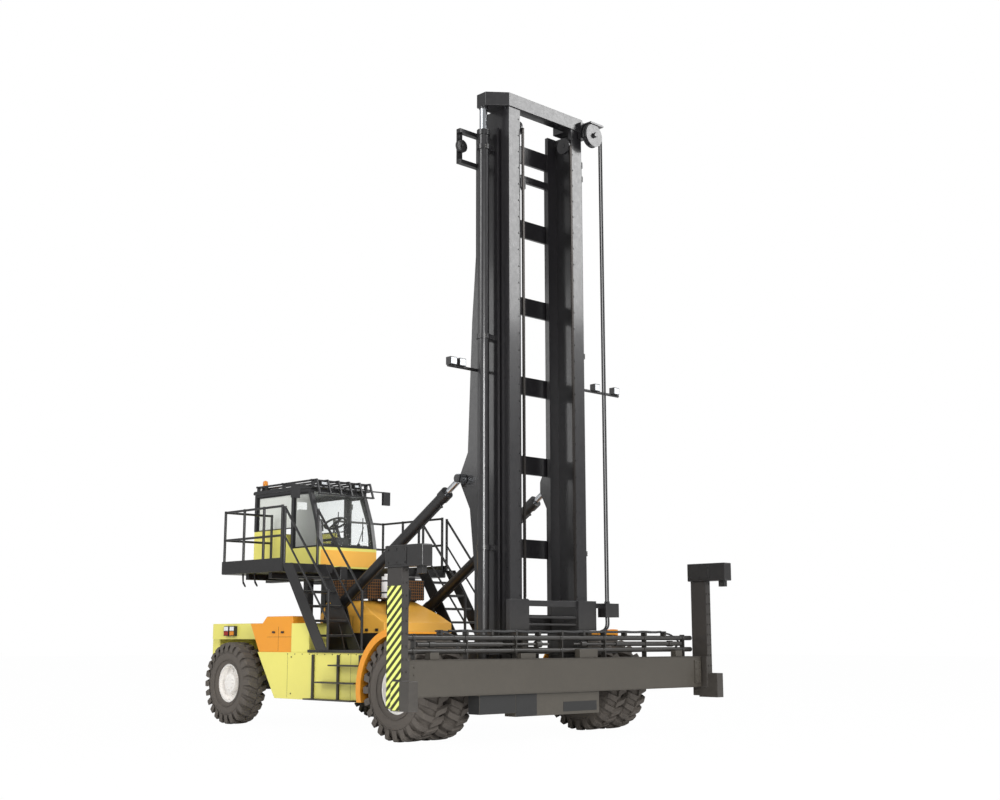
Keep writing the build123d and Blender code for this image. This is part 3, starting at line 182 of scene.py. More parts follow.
def clearGlass(name, tint):
    # toughened pane, 8 mm thick: clear, faintly green-grey, sharp reflections
    material, tree, place = startMaterial(name)
    clear = addNode(tree, "ShaderNodeBsdfTransparent", {"Color": linear(tint)})
    gloss = addNode(tree, "ShaderNodeBsdfPrincipled", {"Base Color": linear("#fbfcf6"), "Roughness": 0.03,
                                                       "IOR": 1.5})
    fresnel = addNode(tree, "ShaderNodeFresnel", {"IOR": 1.22})
    mix = addNode(tree, "ShaderNodeMixShader", {"Fac": fresnel.outputs[0], 1: clear.outputs[0],
                                                2: gloss.outputs[0]})
    return finishMaterial(material, tree, mix)


paleYellow = sprayedEnamel("paleYellowEnamel", "#efe776", dust=0.1, coat=0.2, faded=0.03)
goldenYellow = sprayedEnamel("goldenYellowEnamel", "#ee9c22", dust=0.1, coat=0.15, faded=0.04)
# the golden yellow enamel again, made lighter as painted light; the hood and the cab's front panel wear it
paintedLightYellow = sprayedEnamel("paintedLightYellowEnamel", "#fbbc4c", dust=0.1, coat=0.25, faded=0.04)
mastBlack = sprayedEnamel("mastBlackEnamel", "#19181a", gloss=0.26, dust=0.2, coat=0.6, faded=0.12, worn=0.06)
beamGrey = sprayedEnamel("spreaderGreyEnamel", "#3e3a34", gloss=0.45, dust=0.12, coat=0.1, faded=0.05)
armGrey = sprayedEnamel("spreaderArmEnamel", "#2e2b29", gloss=0.4, dust=0.12, coat=0.2, faded=0.08)
headGrey = sprayedEnamel("hookHeadEnamel", "#1e1d1d", gloss=0.38, dust=0.1, coat=0.25, faded=0.08)
deckBlack = sprayedEnamel("deckBlackEnamel", "#191819", gloss=0.4, dust=0.2, coat=0.25, faded=0.15)
cabBlack = sprayedEnamel("cabBlackEnamel", "#1d1d1f", gloss=0.3, dust=0.1, faded=0.1)
rimWhite = sprayedEnamel("rimWhiteEnamel", "#fdfaf6", gloss=0.35, dust=0.08)
tyreRubber = plainMaterial("vulcanisedTyreRubber", "#5b554f", 0.8, grain=8, bumpHeight=0.0008, spread=0.16)
rodChrome = plainMaterial("groundChromePlate", "#c9ccd0", 0.12, metallic=1.0, grain=40, bumpHeight=0.00002,
                          spread=0.03)
castIron = plainMaterial("paintedCastIron", "#4d5054", 0.6, grain=6, bumpHeight=0.0006)
chainSteel = plainMaterial("oiledChainSteel", "#3a3735", 0.35, metallic=0.8, grain=5, bumpHeight=0.0002)
boltZinc = plainMaterial("zincPlatedSteel", "#9a9890", 0.35, metallic=0.9, grain=10, bumpHeight=0.00005)
whitePlastic = plainMaterial("mouldedWhitePolyethylene", "#f2f0ee", 0.4, grain=30, spread=0.03)
blackPlastic = plainMaterial("texturedBlackAbs", "#262626", 0.55, grain=3, spread=0.06)
sealRubber = plainMaterial("extrudedSealRubber", "#1d1d1e", 0.6, grain=4, spread=0.05)
hoseRubber = plainMaterial("wrappedHoseRubber", "#1f1f20", 0.5, grain=3, bumpHeight=0.0002, spread=0.05)
seatCloth = plainMaterial("wovenSeatCloth", "#3f4143", 0.9, grain=2, bumpHeight=0.0006)
screenSteel = plainMaterial("paintedWireScreen", "#8e5f2a", 0.6, grain=8)
lampLens = plainMaterial("frostedLampLens", "#e8ecef", 0.15, grain=4, spread=0.02)
amberLens = plainMaterial("mouldedAmberLens", "#e08a1c", 0.2, grain=4, spread=0.03)
redLens = plainMaterial("mouldedRedLens", "#9c1f18", 0.2, grain=4, spread=0.03)
mirrorGlass = plainMaterial("silveredMirrorGlass", "#e4e8ea", 0.03, metallic=1.0, grain=60,
                            bumpHeight=0.00001, spread=0.01)
blackTread = treadPlate("blackTreadPlate", "#2a2a2a")
postTape = hazardStripes("reflectivePostTape", "#e3ec7e", "#33350f", 0.112, 0.9)
cabGlass = clearGlass("toughenedCabGlass", "#feffff")
print("materials ready")

finishes = [
    (paleYellow, ["fuel_tank", "hydraulic_tank", "counterweight", "battery_box", "cab_base"]),
    (goldenYellow, ["front_fenders", "rear_side_boxes"]),
    # the hood takes the lighter yellow copy, with painted light
    (paintedLightYellow, ["hood"]),
    (mastBlack, ["outer_mast", "inner_mast", "top_beam", "carriage", "lift_barrels", "hose_sheave"]),
    (beamGrey, ["spreader_beam"]),
    (armGrey, ["telescope_right", "telescope_left"]),
    (headGrey, ["hook_head_right", "hook_head_left"]),
    (deckBlack, ["front_axle", "steer_axle", "rear_knuckle_right", "rear_knuckle_left", "deck", "stairs",
                 "railings", "side_steps", "chassis_frame", "hood_base", "hood_fittings", "spreader_rack",
                 "mast_arms", "tilt_barrel_right", "tilt_barrel_left"]),
    (cabBlack, ["cab_frame", "cab_roof", "roof_guard", "cab_door", "mirrors"]),
    (blackTread, ["walkways"]),
    (rodChrome, ["lift_rods", "tilt_rod_right", "tilt_rod_left"]),
    (tyreRubber, ["front_tyres_right", "front_tyres_left", "rear_tyre_right", "rear_tyre_left"]),
    (rimWhite, ["front_rims_right", "front_rims_left", "rear_rim_right", "rear_rim_left"]),
    (castIron, ["engine_block"]),
    (whitePlastic, ["air_cleaner"]),
    (cabGlass, ["cab_glass", "door_glass"]),
    (seatCloth, ["seat"]),
    (blackPlastic, ["steering_console", "tail_lamps"]),
    (chainSteel, ["lift_chains"]),
    (hoseRubber, ["lift_hoses"]),
]
for finish, members in finishes:
    for member in members:
        slots = nodes[member].data.materials
        slots.clear()
        slots.append(finish)

# Rolled and ground edges on the plate work: weld the solid's seams, then round each edge
edgeRounding = {
    0.012: ["counterweight", "hood", "fuel_tank", "hydraulic_tank", "rear_side_boxes", "battery_box",
            "hook_head_right", "hook_head_left", "cab_roof", "cab_base"],
    0.005: ["outer_mast", "inner_mast", "top_beam", "carriage", "spreader_beam", "telescope_right",
            "telescope_left", "deck", "chassis_frame", "front_fenders"],
}
for width, members in edgeRounding.items():
    for member in members:
        weld = nodes[member].modifiers.new("weld", "WELD")
        weld.merge_threshold = 0.0001
        bevel = nodes[member].modifiers.new("bevel", "BEVEL")
        bevel.width = width
        bevel.segments = 2
        bevel.limit_method = "ANGLE"
        bevel.angle_limit = math.radians(40)


# Shapes: each part is (points, faces), made from a formula and joined into one mesh

def boxPart(low, high):
    xs, ys, zs = zip(low, high)
    corners = np.array([[x, y, z] for x in xs for y in ys for z in zs])
    return corners, [(0, 1, 3, 2), (4, 6, 7, 5), (0, 4, 5, 1), (2, 3, 7, 6), (0, 2, 6, 4), (1, 5, 7, 3)]


def gridPart(points, wrapRows=False, wrapColumns=False, cap=False):
    # points[i, j] is a surface point; quads join neighbours, and cap closes the first and last rows
    rows, columns = points.shape[:2]
    faces = []
    for i in range(rows if wrapRows else rows - 1):
        for j in range(columns if wrapColumns else columns - 1):
            k, m = (i + 1) % rows, (j + 1) % columns
            faces.append((i * columns + j, i * columns + m, k * columns + m, k * columns + j))
    if cap:
        faces.append(tuple(range(columns)))
        faces.append(tuple((rows - 1) * columns + j for j in range(columns)))
    return points.reshape(-1, 3), faces


def frameOf(direction):
    # two unit vectors square to the direction
    ahead = np.array(direction, float) / np.linalg.norm(direction)
    helper = np.array((0, 0, 1.0)) if abs(ahead[2]) < 0.9 else np.array((1.0, 0, 0))
    across = np.cross(ahead, helper)
    across /= np.linalg.norm(across)
    return ahead, across, np.cross(ahead, across)


def lathePart(profile, centre, axis, segments=32, closed=False):
    # turn (radius, distance along axis) pairs: p = centre + axis * a + r * (u cos t + v sin t)
    ahead, across, over = frameOf(axis)
    turns = np.linspace(0, 2 * math.pi, segments, endpoint=False)
    radial = np.outer(np.cos(turns), across) + np.outer(np.sin(turns), over)
    points = np.array([np.array(centre) + ahead * a + radial * r for r, a in profile])
    return gridPart(points, wrapRows=closed, wrapColumns=True, cap=not closed)


def tubePart(path, radius, sides=10):
    # a round profile carried along the path, with the frame turned as little as can be from point to point
    path = np.array(path, float)
    tangents = np.gradient(path, axis=0)
    tangents /= np.linalg.norm(tangents, axis=1)[:, None]
    ahead, across, over = frameOf(tangents[0])
    turns = np.linspace(0, 2 * math.pi, sides, endpoint=False)
    rings = []
    for point, tangent in zip(path, tangents):
        across = across - tangent * np.dot(across, tangent)
        across /= np.linalg.norm(across)
        over = np.cross(tangent, across)
        rings.append(point + radius * (np.outer(np.cos(turns), across) + np.outer(np.sin(turns), over)))
    return gridPart(np.array(rings), wrapColumns=True, cap=True)


def bentPath(corners, radius, steps=6):
    # straight runs with round bends: at each corner a quadratic Bezier from radius before to radius after
    corners = [np.array(c, float) for c in corners]
    path = [corners[0]]
    for before, corner, after in zip(corners, corners[1:], corners[2:]):
        start = corner + (before - corner) / np.linalg.norm(before - corner) * radius
        end = corner + (after - corner) / np.linalg.norm(after - corner) * radius
        for t in np.linspace(0, 1, steps):
            path.append((1 - t) ** 2 * start + 2 * t * (1 - t) * corner + t ** 2 * end)
    path.append(corners[-1])
    return path


def hexPart(centre, axis, radius, height):
    profile = [(radius, 0), (radius, height * 0.85), (radius * 0.85, height)]
    return lathePart(profile, centre, axis, segments=6)


def repeated(part, offsets):
    points, faces = part
    return [(points + np.array(offset), faces) for offset in offsets]


def between(start, end, count):
    return np.linspace(np.array(start, float), np.array(end, float), count)


def wirePart(start, end, radius, sides):
    return tubePart(between(start, end, 2), radius, sides)


def ySpan(side, inner, outer):
    # the y values of a part on one side of the machine, lower first
    return sorted((side * inner, side * outer))


def addPiece(name, parts, material, body, bevelWidth=0, replaced=(), sharpAngle=35):
    # joins the parts into one closed mesh with outward faces that rides on the body
    points, faces, start = [], [], 0
    for partPoints, partFaces in parts:
        points.append(partPoints)
        faces.extend(tuple(i + start for i in face) for face in partFaces)
        start += len(partPoints)
    mesh = bpy.data.meshes.new(name)
    mesh.from_pydata(np.concatenate(points).tolist(), [], faces)
    made = bmesh.new()
    made.from_mesh(mesh)
    bmesh.ops.recalc_face_normals(made, faces=made.faces)
    made.to_mesh(mesh)
    made.free()
    mesh.shade_smooth()
    mesh.set_sharp_from_angle(angle=math.radians(sharpAngle))
    mesh.materials.append(material)
    piece = bpy.data.objects.new(name, mesh)
    scene.collection.objects.link(piece)
    if bevelWidth:
        bevel = piece.modifiers.new("bevel", "BEVEL")
        bevel.width = bevelWidth
        bevel.segments = 2
        bevel.limit_method = "ANGLE"
        bevel.angle_limit = math.radians(40)
    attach(piece, body)
    if replaced:
        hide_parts(*replaced)
    return piece


def boxOf(node):
    low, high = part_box(node)
    return np.array(low), np.array(high)


frontLow, frontHigh = boxOf("front_tyres_right")
rearLow, rearHigh = boxOf("rear_tyre_right")
frontX = (frontLow[0] + frontHigh[0]) / 2
rearX = (rearLow[0] + rearHigh[0]) / 2
sideNames = {-1: "right", 1: "left"}


# Tyres with chevron lugs

tyreForm = {
    "lugs": 24,              # in each of the two rows
    "lugDepth": 0.036,
    "lugWidth": 0.094,       # along the tread, at the middle
    "skew": 0.13,            # radians by which a lug's outer end lags its inner end
    "frontWidth": 0.395, "frontGap": 0.06, "rearWidth": 0.35,
    "frontRim": 0.680, "rearRim": 0.640,
}


def tyreParts(centre, diameter, width, rimDiameter):
    # carcass: radius = bead + (crown - bead) * |sin t|^0.5, axle offset = w * sign(cos t) * |cos t|^0.55
    bead, crown, halfWidth = rimDiameter / 2 - 0.012, diameter / 2 - tyreForm["lugDepth"], width / 2
    turn = np.linspace(0.12, math.pi - 0.12, 19)
    radii = bead + (crown - bead) * np.abs(np.sin(turn)) ** 0.5
    offsets = halfWidth * np.sign(np.cos(turn)) * np.abs(np.cos(turn)) ** 0.55
    inner = [(bead, offsets[-1] + 0.03), (bead, offsets[0] - 0.03)]
    parts = [lathePart(list(zip(radii, offsets)) + inner, centre, (0, 1, 0), segments=72, closed=True)]
    # rings round the side wall, as moulded
    for side in (-1, 1):
        for ringRadius in (bead + 0.06, crown - 0.13):
            ring = [(ringRadius + 0.006 * math.cos(a), side * (halfWidth - 0.004) + 0.005 * math.sin(a))
                    for a in np.linspace(0, 2 * math.pi, 6, endpoint=False)]
            parts.append(lathePart(ring, centre, (0, 1, 0), segments=64, closed=True))
    # lug: stations s from the middle to the shoulder and down the wall, each a wedge of four corners
    stations = np.array([0.0, 0.35, 0.7, 0.88, 1.0, 1.0])
    top = diameter / 2 - np.array([0.0, 0.0, 0.003, 0.008, 0.03, 0.125])
    root = np.array([crown - 0.015] * 4 + [crown - 0.05, crown - 0.115])
    for side in (-1, 1):
        axial = side * (0.01 + stations * (halfWidth + 0.004 - 0.01))
        axial[-1] += side * 0.004
        for k in range(tyreForm["lugs"]):
            base = 2 * math.pi * (k + (0.25 if side > 0 else -0.25)) / tyreForm["lugs"]
            mid = base + tyreForm["skew"] * stations * 0.8
            wide = tyreForm["lugWidth"] / diameter * (1 - 0.12 * stations)
            corners = []
            for turnSign, radius in ((-1.25, root), (-0.9, top), (0.9, top), (1.25, root)):
                angle = mid + turnSign * wide
                corners.append(np.stack([radius * np.cos(angle), axial, radius * np.sin(angle)], axis=1))
            parts.append(gridPart(np.array(centre) + np.stack(corners, axis=1), wrapColumns=True, cap=True))
    return parts


for side, sideName in sideNames.items():
    low, high = boxOf(f"front_tyres_{sideName}")
    diameter = high[2] - low[2]
    parts = []
    for offset in (-1, 1):
        y = (low[1] + high[1]) / 2 + offset * (tyreForm["frontWidth"] + tyreForm["frontGap"]) / 2
        parts += tyreParts((frontX, y, diameter / 2), diameter, tyreForm["frontWidth"], tyreForm["frontRim"])
    addPiece(f"front_tyre_rubber_{sideName}", parts, tyreRubber, f"front_wheels_{sideName}",
             replaced=[f"front_tyres_{sideName}"])
    low, high = boxOf(f"rear_tyre_{sideName}")
    diameter = high[2] - low[2]
    parts = tyreParts((rearX, (low[1] + high[1]) / 2, diameter / 2), diameter, tyreForm["rearWidth"],
                      tyreForm["rearRim"])
    addPiece(f"rear_tyre_rubber_{sideName}", parts, tyreRubber, f"rear_wheel_{sideName}",
             replaced=[f"rear_tyre_{sideName}"])


# Rims: rolled edge, lock ring and hub bolts

rimForm = {"roll": 0.014, "rollOut": 0.008, "boltCircle": 0.1, "bolts": 10, "frontHubY": 1.965,
           "rearInset": 0.054}


def rimParts(side, x, z, rimDiameter, outerY, hubY):
    radius = rimDiameter / 2
    turns = np.linspace(0, 2 * math.pi, rimForm["bolts"], endpoint=False)
    roll = [(radius + rimForm["rollOut"] + rimForm["roll"] * math.cos(a),
             side * outerY + rimForm["roll"] * math.sin(a)) for a in turns]
    lock = [(radius - 0.038, side * (outerY - 0.02)), (radius - 0.012, side * (outerY - 0.02)),
            (radius - 0.012, side * (outerY - 0.004)), (radius - 0.038, side * (outerY - 0.004))]
    parts = [lathePart(ring, (x, 0, z), (0, 1, 0), segments=64, closed=True) for ring in (roll, lock)]
    for angle in turns:
        place = (x + rimForm["boltCircle"] * math.cos(angle), side * hubY,
                 z + rimForm["boltCircle"] * math.sin(angle))
        parts.append(hexPart(place, (0, side, 0), 0.013, 0.012))
    return parts


for side, sideName in sideNames.items():
    for axle, x, rim, tyre, wheel in (("front", frontX, "front_rims", "front_tyres", "front_wheels"),
                                      ("rear", rearX, "rear_rim", "rear_tyre", "rear_wheel")):
        rimLow, rimHigh = boxOf(f"{rim}_{sideName}")
        tyreLow, tyreHigh = boxOf(f"{tyre}_{sideName}")
        z = (tyreLow[2] + tyreHigh[2]) / 2
        rimY = max(abs(rimLow[1]), abs(rimHigh[1]))
        edgeY, hubY = rimY, rimForm["frontHubY"]
        if axle == "rear":
            edgeY, hubY = max(abs(tyreLow[1]), abs(tyreHigh[1])) - rimForm["rearInset"], rimY
        addPiece(f"{axle}_rim_flange_{sideName}",
                 rimParts(side, x, z, tyreForm[f"{axle}Rim"], edgeY, hubY),
                 rimWhite, f"{wheel}_{sideName}")


# End posts: striped tape, a claw and cover plates on the head, and a row of bolts up the front

post = {"x": (frontX + 0.93, frontX + 1.22), "outerY": 3.1, "footY": 3.125, "boltY": 3.045,
        "boltPitch": 0.155}
tape = {"low": 0.86, "high": 2.0, "thickness": 0.002, "inset": 0.006, "foot": 0.51, "footX": frontX + 1.048}
cover = {"start": 0.05, "end": 0.42, "edge": 0.03, "thickness": 0.01, "boltX": (0.075, 0.235, 0.395)}
for side, sideName in sideNames.items():
    tapeX = (post["x"][0] + tape["inset"], post["x"][1] - tape["inset"])
    faces = ySpan(side, post["outerY"], post["outerY"] + tape["thickness"])
    footFaces = ySpan(side, post["footY"], post["footY"] + tape["thickness"])
    parts = [boxPart((tapeX[0], faces[0], tape["low"]), (tapeX[1], faces[1], tape["high"])),
             boxPart((tapeX[0], faces[0], tape["foot"]), (tape["footX"], faces[1], tape["low"])),
             boxPart((tape["footX"] + 0.005, footFaces[0], 0.49), (tapeX[1], footFaces[1], 0.835))]
    addPiece(f"post_tape_{sideName}", parts, postTape, f"telescope_{sideName}")
    headLow, headHigh = boxOf(f"hook_head_{sideName}")
    midY = (headLow[1] + headHigh[1]) / 2
    parts = [boxPart((headHigh[0] - 0.16, midY - 0.035, headLow[2] - 0.09),
                     (headHigh[0] - 0.05, midY + 0.035, headLow[2]))]
    for face, out in ((headLow[1], -1), (headHigh[1], 1)):
        ys = sorted((face, face + out * cover["thickness"]))
        parts.append(boxPart((headLow[0] + cover["start"], ys[0], headLow[2] + cover["edge"]),
                             (headLow[0] + cover["end"], ys[1], headHigh[2] - cover["edge"])))
        for x in cover["boltX"]:
            for z in (headLow[2] + 0.055, headHigh[2] - 0.055):
                place = (headLow[0] + x, face + out * cover["thickness"], z)
                parts.append(hexPart(place, (0, out, 0), 0.014, 0.01))
    addPiece(f"head_fittings_{sideName}", parts, headGrey, f"telescope_{sideName}", bevelWidth=0.003)
    parts = [hexPart((post["x"][1], side * (post["boltY"] + dy), z), (1, 0, 0), 0.014, 0.012)
             for z in np.arange(0.95, 2.2, post["boltPitch"]) for dy in (-0.03, 0.03)]
    addPiece(f"post_bolts_{sideName}", parts, armGrey, f"telescope_{sideName}")


# Spreader: edge strips, bolted end plates, the rack's hoses and clamps, boxes and covers

beam = {"face": frontX + 1.12, "half": 2.95, "low": 0.63, "high": 1.09, "strip": 0.006,
        "plateY": (2.79, 2.93), "plate": 0.016}
parts = [boxPart((beam["face"], -beam["half"], z), (beam["face"] + 0.01, beam["half"], z + beam["strip"]))
         for z in (beam["low"], beam["high"] - beam["strip"])]
for side in (-1, 1):
    ys = ySpan(side, *beam["plateY"])
    plateX = beam["face"] + beam["plate"]
    parts.append(boxPart((beam["face"], ys[0], beam["low"] + 0.06), (plateX, ys[1], beam["high"] - 0.06)))
    for z in np.linspace(beam["low"] + 0.09, beam["high"] - 0.09, 4):
        for dy in (0.03, 0.11):
            parts.append(hexPart((plateX, side * (beam["plateY"][1] - dy), z), (1, 0, 0), 0.013, 0.01))
addPiece("beam_trim", parts, beamGrey, "spreader", bevelWidth=0.002)

rack = {"x": frontX + 0.965, "tubes": (1.195, 1.365), "hoseZ": (1.44, 1.452, 1.44), "hoseStep": 0.03,
        "hoseRadius": 0.011, "sag": 0.008, "clampPitch": 0.45}
parts = []
for k, z in enumerate(rack["hoseZ"]):
    ys = np.linspace(-2.3 + 0.2 * k, 2.35 - 0.15 * k, 40)
    sag = rack["sag"] * np.sin((ys + 0.9 * k) * 2 * math.pi / 0.9) ** 2
    xs = np.full(40, rack["x"] + rack["hoseStep"] * (k - 1))
    parts.append(tubePart(np.stack([xs, ys, z - sag + 0.01], axis=1), rack["hoseRadius"], 8))
for y in (-2.3, 2.2):
    corners = [(rack["x"], y, 1.44), (rack["x"] + 0.02, y + 0.2, 1.42),
               (rack["x"] + 0.02, y + 0.42, 1.3), (rack["x"], y + 0.3, 1.2)]
    parts.append(tubePart(bentPath(corners, 0.08), 0.014, 8))
addPiece("rack_hoses", parts, hoseRubber, "spreader")

parts = [boxPart((rack["x"] - 0.045, y - 0.018, 1.4), (rack["x"] + 0.045, y + 0.018, 1.464))
         for y in np.arange(-2.25, 2.3, rack["clampPitch"])]
middle = sum(rack["tubes"]) / 2
for y in (-2.4, -0.45, 0.45, 2.4):
    parts.append(lathePart([(0.045, -0.05), (0.045, 0.05)], (rack["x"], y, middle), (0, 1, 0), 20))
for y in np.linspace(-2.7, 2.7, 7):
    for z in rack["tubes"]:
        parts.append(lathePart([(0.044, -0.03), (0.044, 0.03)], (rack["x"], y, z), (0, 1, 0), 20))
addPiece("rack_clamps", parts, deckBlack, "spreader", bevelWidth=0.002)

beamBoxes = [(-2.525, -2.375, 0.0, 0.09), (2.375, 2.525, 0.0, 0.09), (0.25, 0.62, 0.0, 0.12),
             (-0.9, -0.62, 0.01, 0.07)]            # right end, left end, inset in x, height
parts = [boxPart((frontX + 1.0 + inset, y0, beam["high"]), (frontX + 1.1 - inset, y1, beam["high"] + height))
         for y0, y1, inset, height in beamBoxes]
addPiece("beam_boxes", parts, beamGrey, "spreader", bevelWidth=0.004)

# dark covers on the front of the box that hangs under the beam, and one on its right end
underCovers = [(-1.655, -1.005, 0.385, 0.625), (-0.995, -0.6, 0.335, 0.625), (-0.08, 0.6, 0.37, 0.5)]
parts = [boxPart((frontX + 1.08, y0, z0), (frontX + 1.084, y1, z1)) for y0, y1, z0, z1 in underCovers]
parts.append(boxPart((frontX + 0.872, -1.664, 0.385), (frontX + 1.078, -1.66, 0.625)))
addPiece("under_box_covers", parts, blackPlastic, "spreader", bevelWidth=0.001)


# Lift chains, lift hoses and their sheave

chain = {"y": 0.515, "x": frontX + 0.78, "foot": 1.9003, "top": 8.8, "pitch": 0.0508, "plate": 0.04,
         "rows": (-0.015, -0.009, -0.003, 0.003, 0.009, 0.015), "folded": 0.0434}
count = int((chain["top"] - chain["foot"]) / chain["pitch"])
rise = between((0, 0, 0), (0, 0, chain["pitch"] * (count - 1)), count)
parts = []
for side in (-1, 1):
    for k, row in enumerate(chain["rows"]):
        y = side * chain["y"] + row
        foot = chain["foot"] + k % 2 * chain["pitch"] / 2
        low = (chain["x"] - chain["plate"] / 2 + 0.006, y - 0.0025, foot)
        high = (low[0] + chain["plate"] - 0.012, y + 0.0025, low[2] + chain["pitch"] * 0.93)
        parts += repeated(boxPart(low, high), rise)
links = addPiece("chain_plates", parts, chainSteel, "upper_mast", replaced=["lift_chains"])
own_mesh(links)

sheave = {"x": frontX + 0.9, "y": 0.88, "z": 8.99, "radius": 0.165, "hoseGap": 0.016, "top": 8.96,
          "foot": 1.86, "hoses": (-0.022, 0.022), "hoseRadius": 0.0145, "folded": 0.0704}
reach = sheave["radius"] + sheave["hoseGap"]
hoseY = sheave["y"] + reach
runs, turns, ends = [], [], []
wrap = np.linspace(-0.15, math.pi + 0.3, 20)
for dx in sheave["hoses"]:
    x = sheave["x"] + dx
    run = between((x, hoseY, sheave["foot"]), (x, hoseY, sheave["top"]), 12)
    runs.append(tubePart(run, sheave["hoseRadius"], 12))
    bend = np.stack([np.full(20, x), sheave["y"] + reach * np.cos(wrap),
                     sheave["z"] + reach * np.sin(wrap)], axis=1)
    turns.append(tubePart(bend, sheave["hoseRadius"], 10))
    ends.append(hexPart((x, hoseY, sheave["foot"] - 0.02), (0, 0, 1), 0.024, 0.05))
    corners = [(x, hoseY, 1.66), (x, hoseY + 0.01, 1.5), (x + 0.02, 0.85, 1.44)]
    ends.append(tubePart(bentPath(corners, 0.1), sheave["hoseRadius"], 10))
hoses = addPiece("hose_runs", runs, hoseRubber, "upper_mast", replaced=["lift_hoses"])
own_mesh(hoses)
addPiece("hose_over_sheave", turns, hoseRubber, "upper_mast")
centre = (sheave["x"], sheave["y"], sheave["z"])
flange = [(0.165, 0.045), (0.178, 0.045), (0.178, 0.036), (0.165, 0.03)]
parts = [lathePart([(radius, side * along) for radius, along in flange], centre, (1, 0, 0), 48, closed=True)
         for side in (-1, 1)]
parts.append(hexPart((sheave["x"] + 0.06, sheave["y"], sheave["z"]), (1, 0, 0), 0.04, 0.03))
addPiece("sheave_flanges", parts, mastBlack, "upper_mast")
addPiece("hose_ends", ends, hoseRubber, "carriage")


# Mast: pipes, clamps, bolts and the ends of the slide pads

mastLine = {"x": (0.2, 0.235), "y": 0.856, "foot": 1.25, "bend": 7.9, "top": 8.1, "radius": 0.011,
            "clampPitch": 0.8, "boltPitch": 0.31}
parts, clamps, bolts = [], [], []
for side in (-1, 1):
    y = side * mastLine["y"]
    for x in mastLine["x"]:
        corners = [(frontX + x, y, mastLine["foot"]), (frontX + x, y, mastLine["bend"]),
                   (frontX + x + 0.1, y + side * 0.06, mastLine["top"])]
        parts.append(tubePart(bentPath(corners, 0.08), mastLine["radius"], 8))
    ys = ySpan(side, 0.84, 0.872)
    for z in np.arange(1.5, mastLine["bend"], mastLine["clampPitch"]):
        clamps.append(boxPart((frontX + 0.18, ys[0], z - 0.02), (frontX + 0.255, ys[1], z + 0.02)))
    for z in np.arange(1.3, 8.7, mastLine["boltPitch"]):
        bolts.append(hexPart((frontX + 0.1197, side * 0.66, z), (-1, 0, 0), 0.013, 0.01))
    for z in (8.435, 5.6, 2.6):
        for dx in (-0.085, 0.085):
            for dz in (-0.015, 0.015):
                bolts.append(hexPart((frontX + 0.45 + dx, side * 1.03, z + dz), (0, side, 0), 0.011, 0.012))
addPiece("mast_pipes", parts, mastBlack, "mast")
addPiece("mast_pipe_clamps", clamps, mastBlack, "mast", bevelWidth=0.002)
addPiece("mast_bolts", bolts, boltZinc, "mast")

padBolts = {"x": frontX + 0.7595, "y": 0.58, "foot": 0.7, "span": 8.2, "count": 34}
parts = []
for side in (-1, 1):
    bolt = hexPart((padBolts["x"], side * padBolts["y"], padBolts["foot"]), (1, 0, 0), 0.012, 0.01)
    parts += repeated(bolt, between((0, 0, 0), (0, 0, padBolts["span"]), padBolts["count"]))
    parts.append(lathePart([(0.066, 9.03), (0.066, 9.055)], (frontX + 0.45, side * 1.0, 0), (0, 0, 1), 28))
    for x in (0.4, 0.5):
        parts.append(hexPart((frontX + x, side * 0.95, 9.26), (0, 0, 1), 0.018, 0.014))
parts.append(boxPart((frontX + 0.25, -0.05, 8.1), (frontX + 0.275, 0.05, 8.25)))
parts.append(lathePart([(0.03, -0.02), (0.03, 0.02)], (frontX + 0.262, 0, 8.1), (1, 0, 0), 20))
addPiece("upper_mast_fittings", parts, mastBlack, "upper_mast")


# Tilt cylinders: glands, ports and the pipe between them

tilt = {"run": (2.88, 0, 1.82), "footX": frontX - 3.0, "footY": 0.912, "footZ": 1.8, "rodShows": 0.345,
        "radius": 0.0825, "port": 0.2, "pipeOut": 0.105, "pipeRadius": 0.009}
tiltAhead = np.array(tilt["run"]) / np.linalg.norm(tilt["run"])
barrelLen = np.linalg.norm(tilt["run"]) - tilt["rodShows"]
over = -np.cross(tiltAhead, (0, 1, 0))
gland = [(tilt["radius"], barrelLen - 0.12), (0.096, barrelLen - 0.12), (0.096, barrelLen + 0.012),
         (0.05, barrelLen + 0.018)]
collar = [(tilt["radius"], 0.06), (0.092, 0.065), (0.092, 0.16), (tilt["radius"], 0.165)]
for side, sideName in sideNames.items():
    foot = np.array([tilt["footX"], side * tilt["footY"], tilt["footZ"]])
    parts = [lathePart(profile, foot, tiltAhead, 32) for profile in (gland, collar)]
    for along in (tilt["port"], barrelLen - tilt["port"]):
        parts.append(lathePart([(0.02, 0), (0.02, 0.035)], foot + tiltAhead * along + over * 0.08, over, 12))
    addPiece(f"tilt_gland_{sideName}", parts, deckBlack, f"tilt_barrel_{sideName}")
    pipe = [foot + tiltAhead * a + over * tilt["pipeOut"]
            for a in (tilt["port"], 0.6, 1.2, 1.9, barrelLen - tilt["port"])]
    addPiece(f"tilt_pipe_{sideName}", [tubePart(pipe, tilt["pipeRadius"], 8)], hoseRubber,
             f"tilt_barrel_{sideName}")


# Cab outside: window seals, front panel, wipers, lamps, beacon and mirror glass

cab = {"front": frontX - 3.76, "rear": frontX - 5.69, "right": -0.69, "left": 0.49, "top": 3.88, "mid": -0.1,
       "roofFront": frontX - 4.06, "pillar": frontX - 4.56}


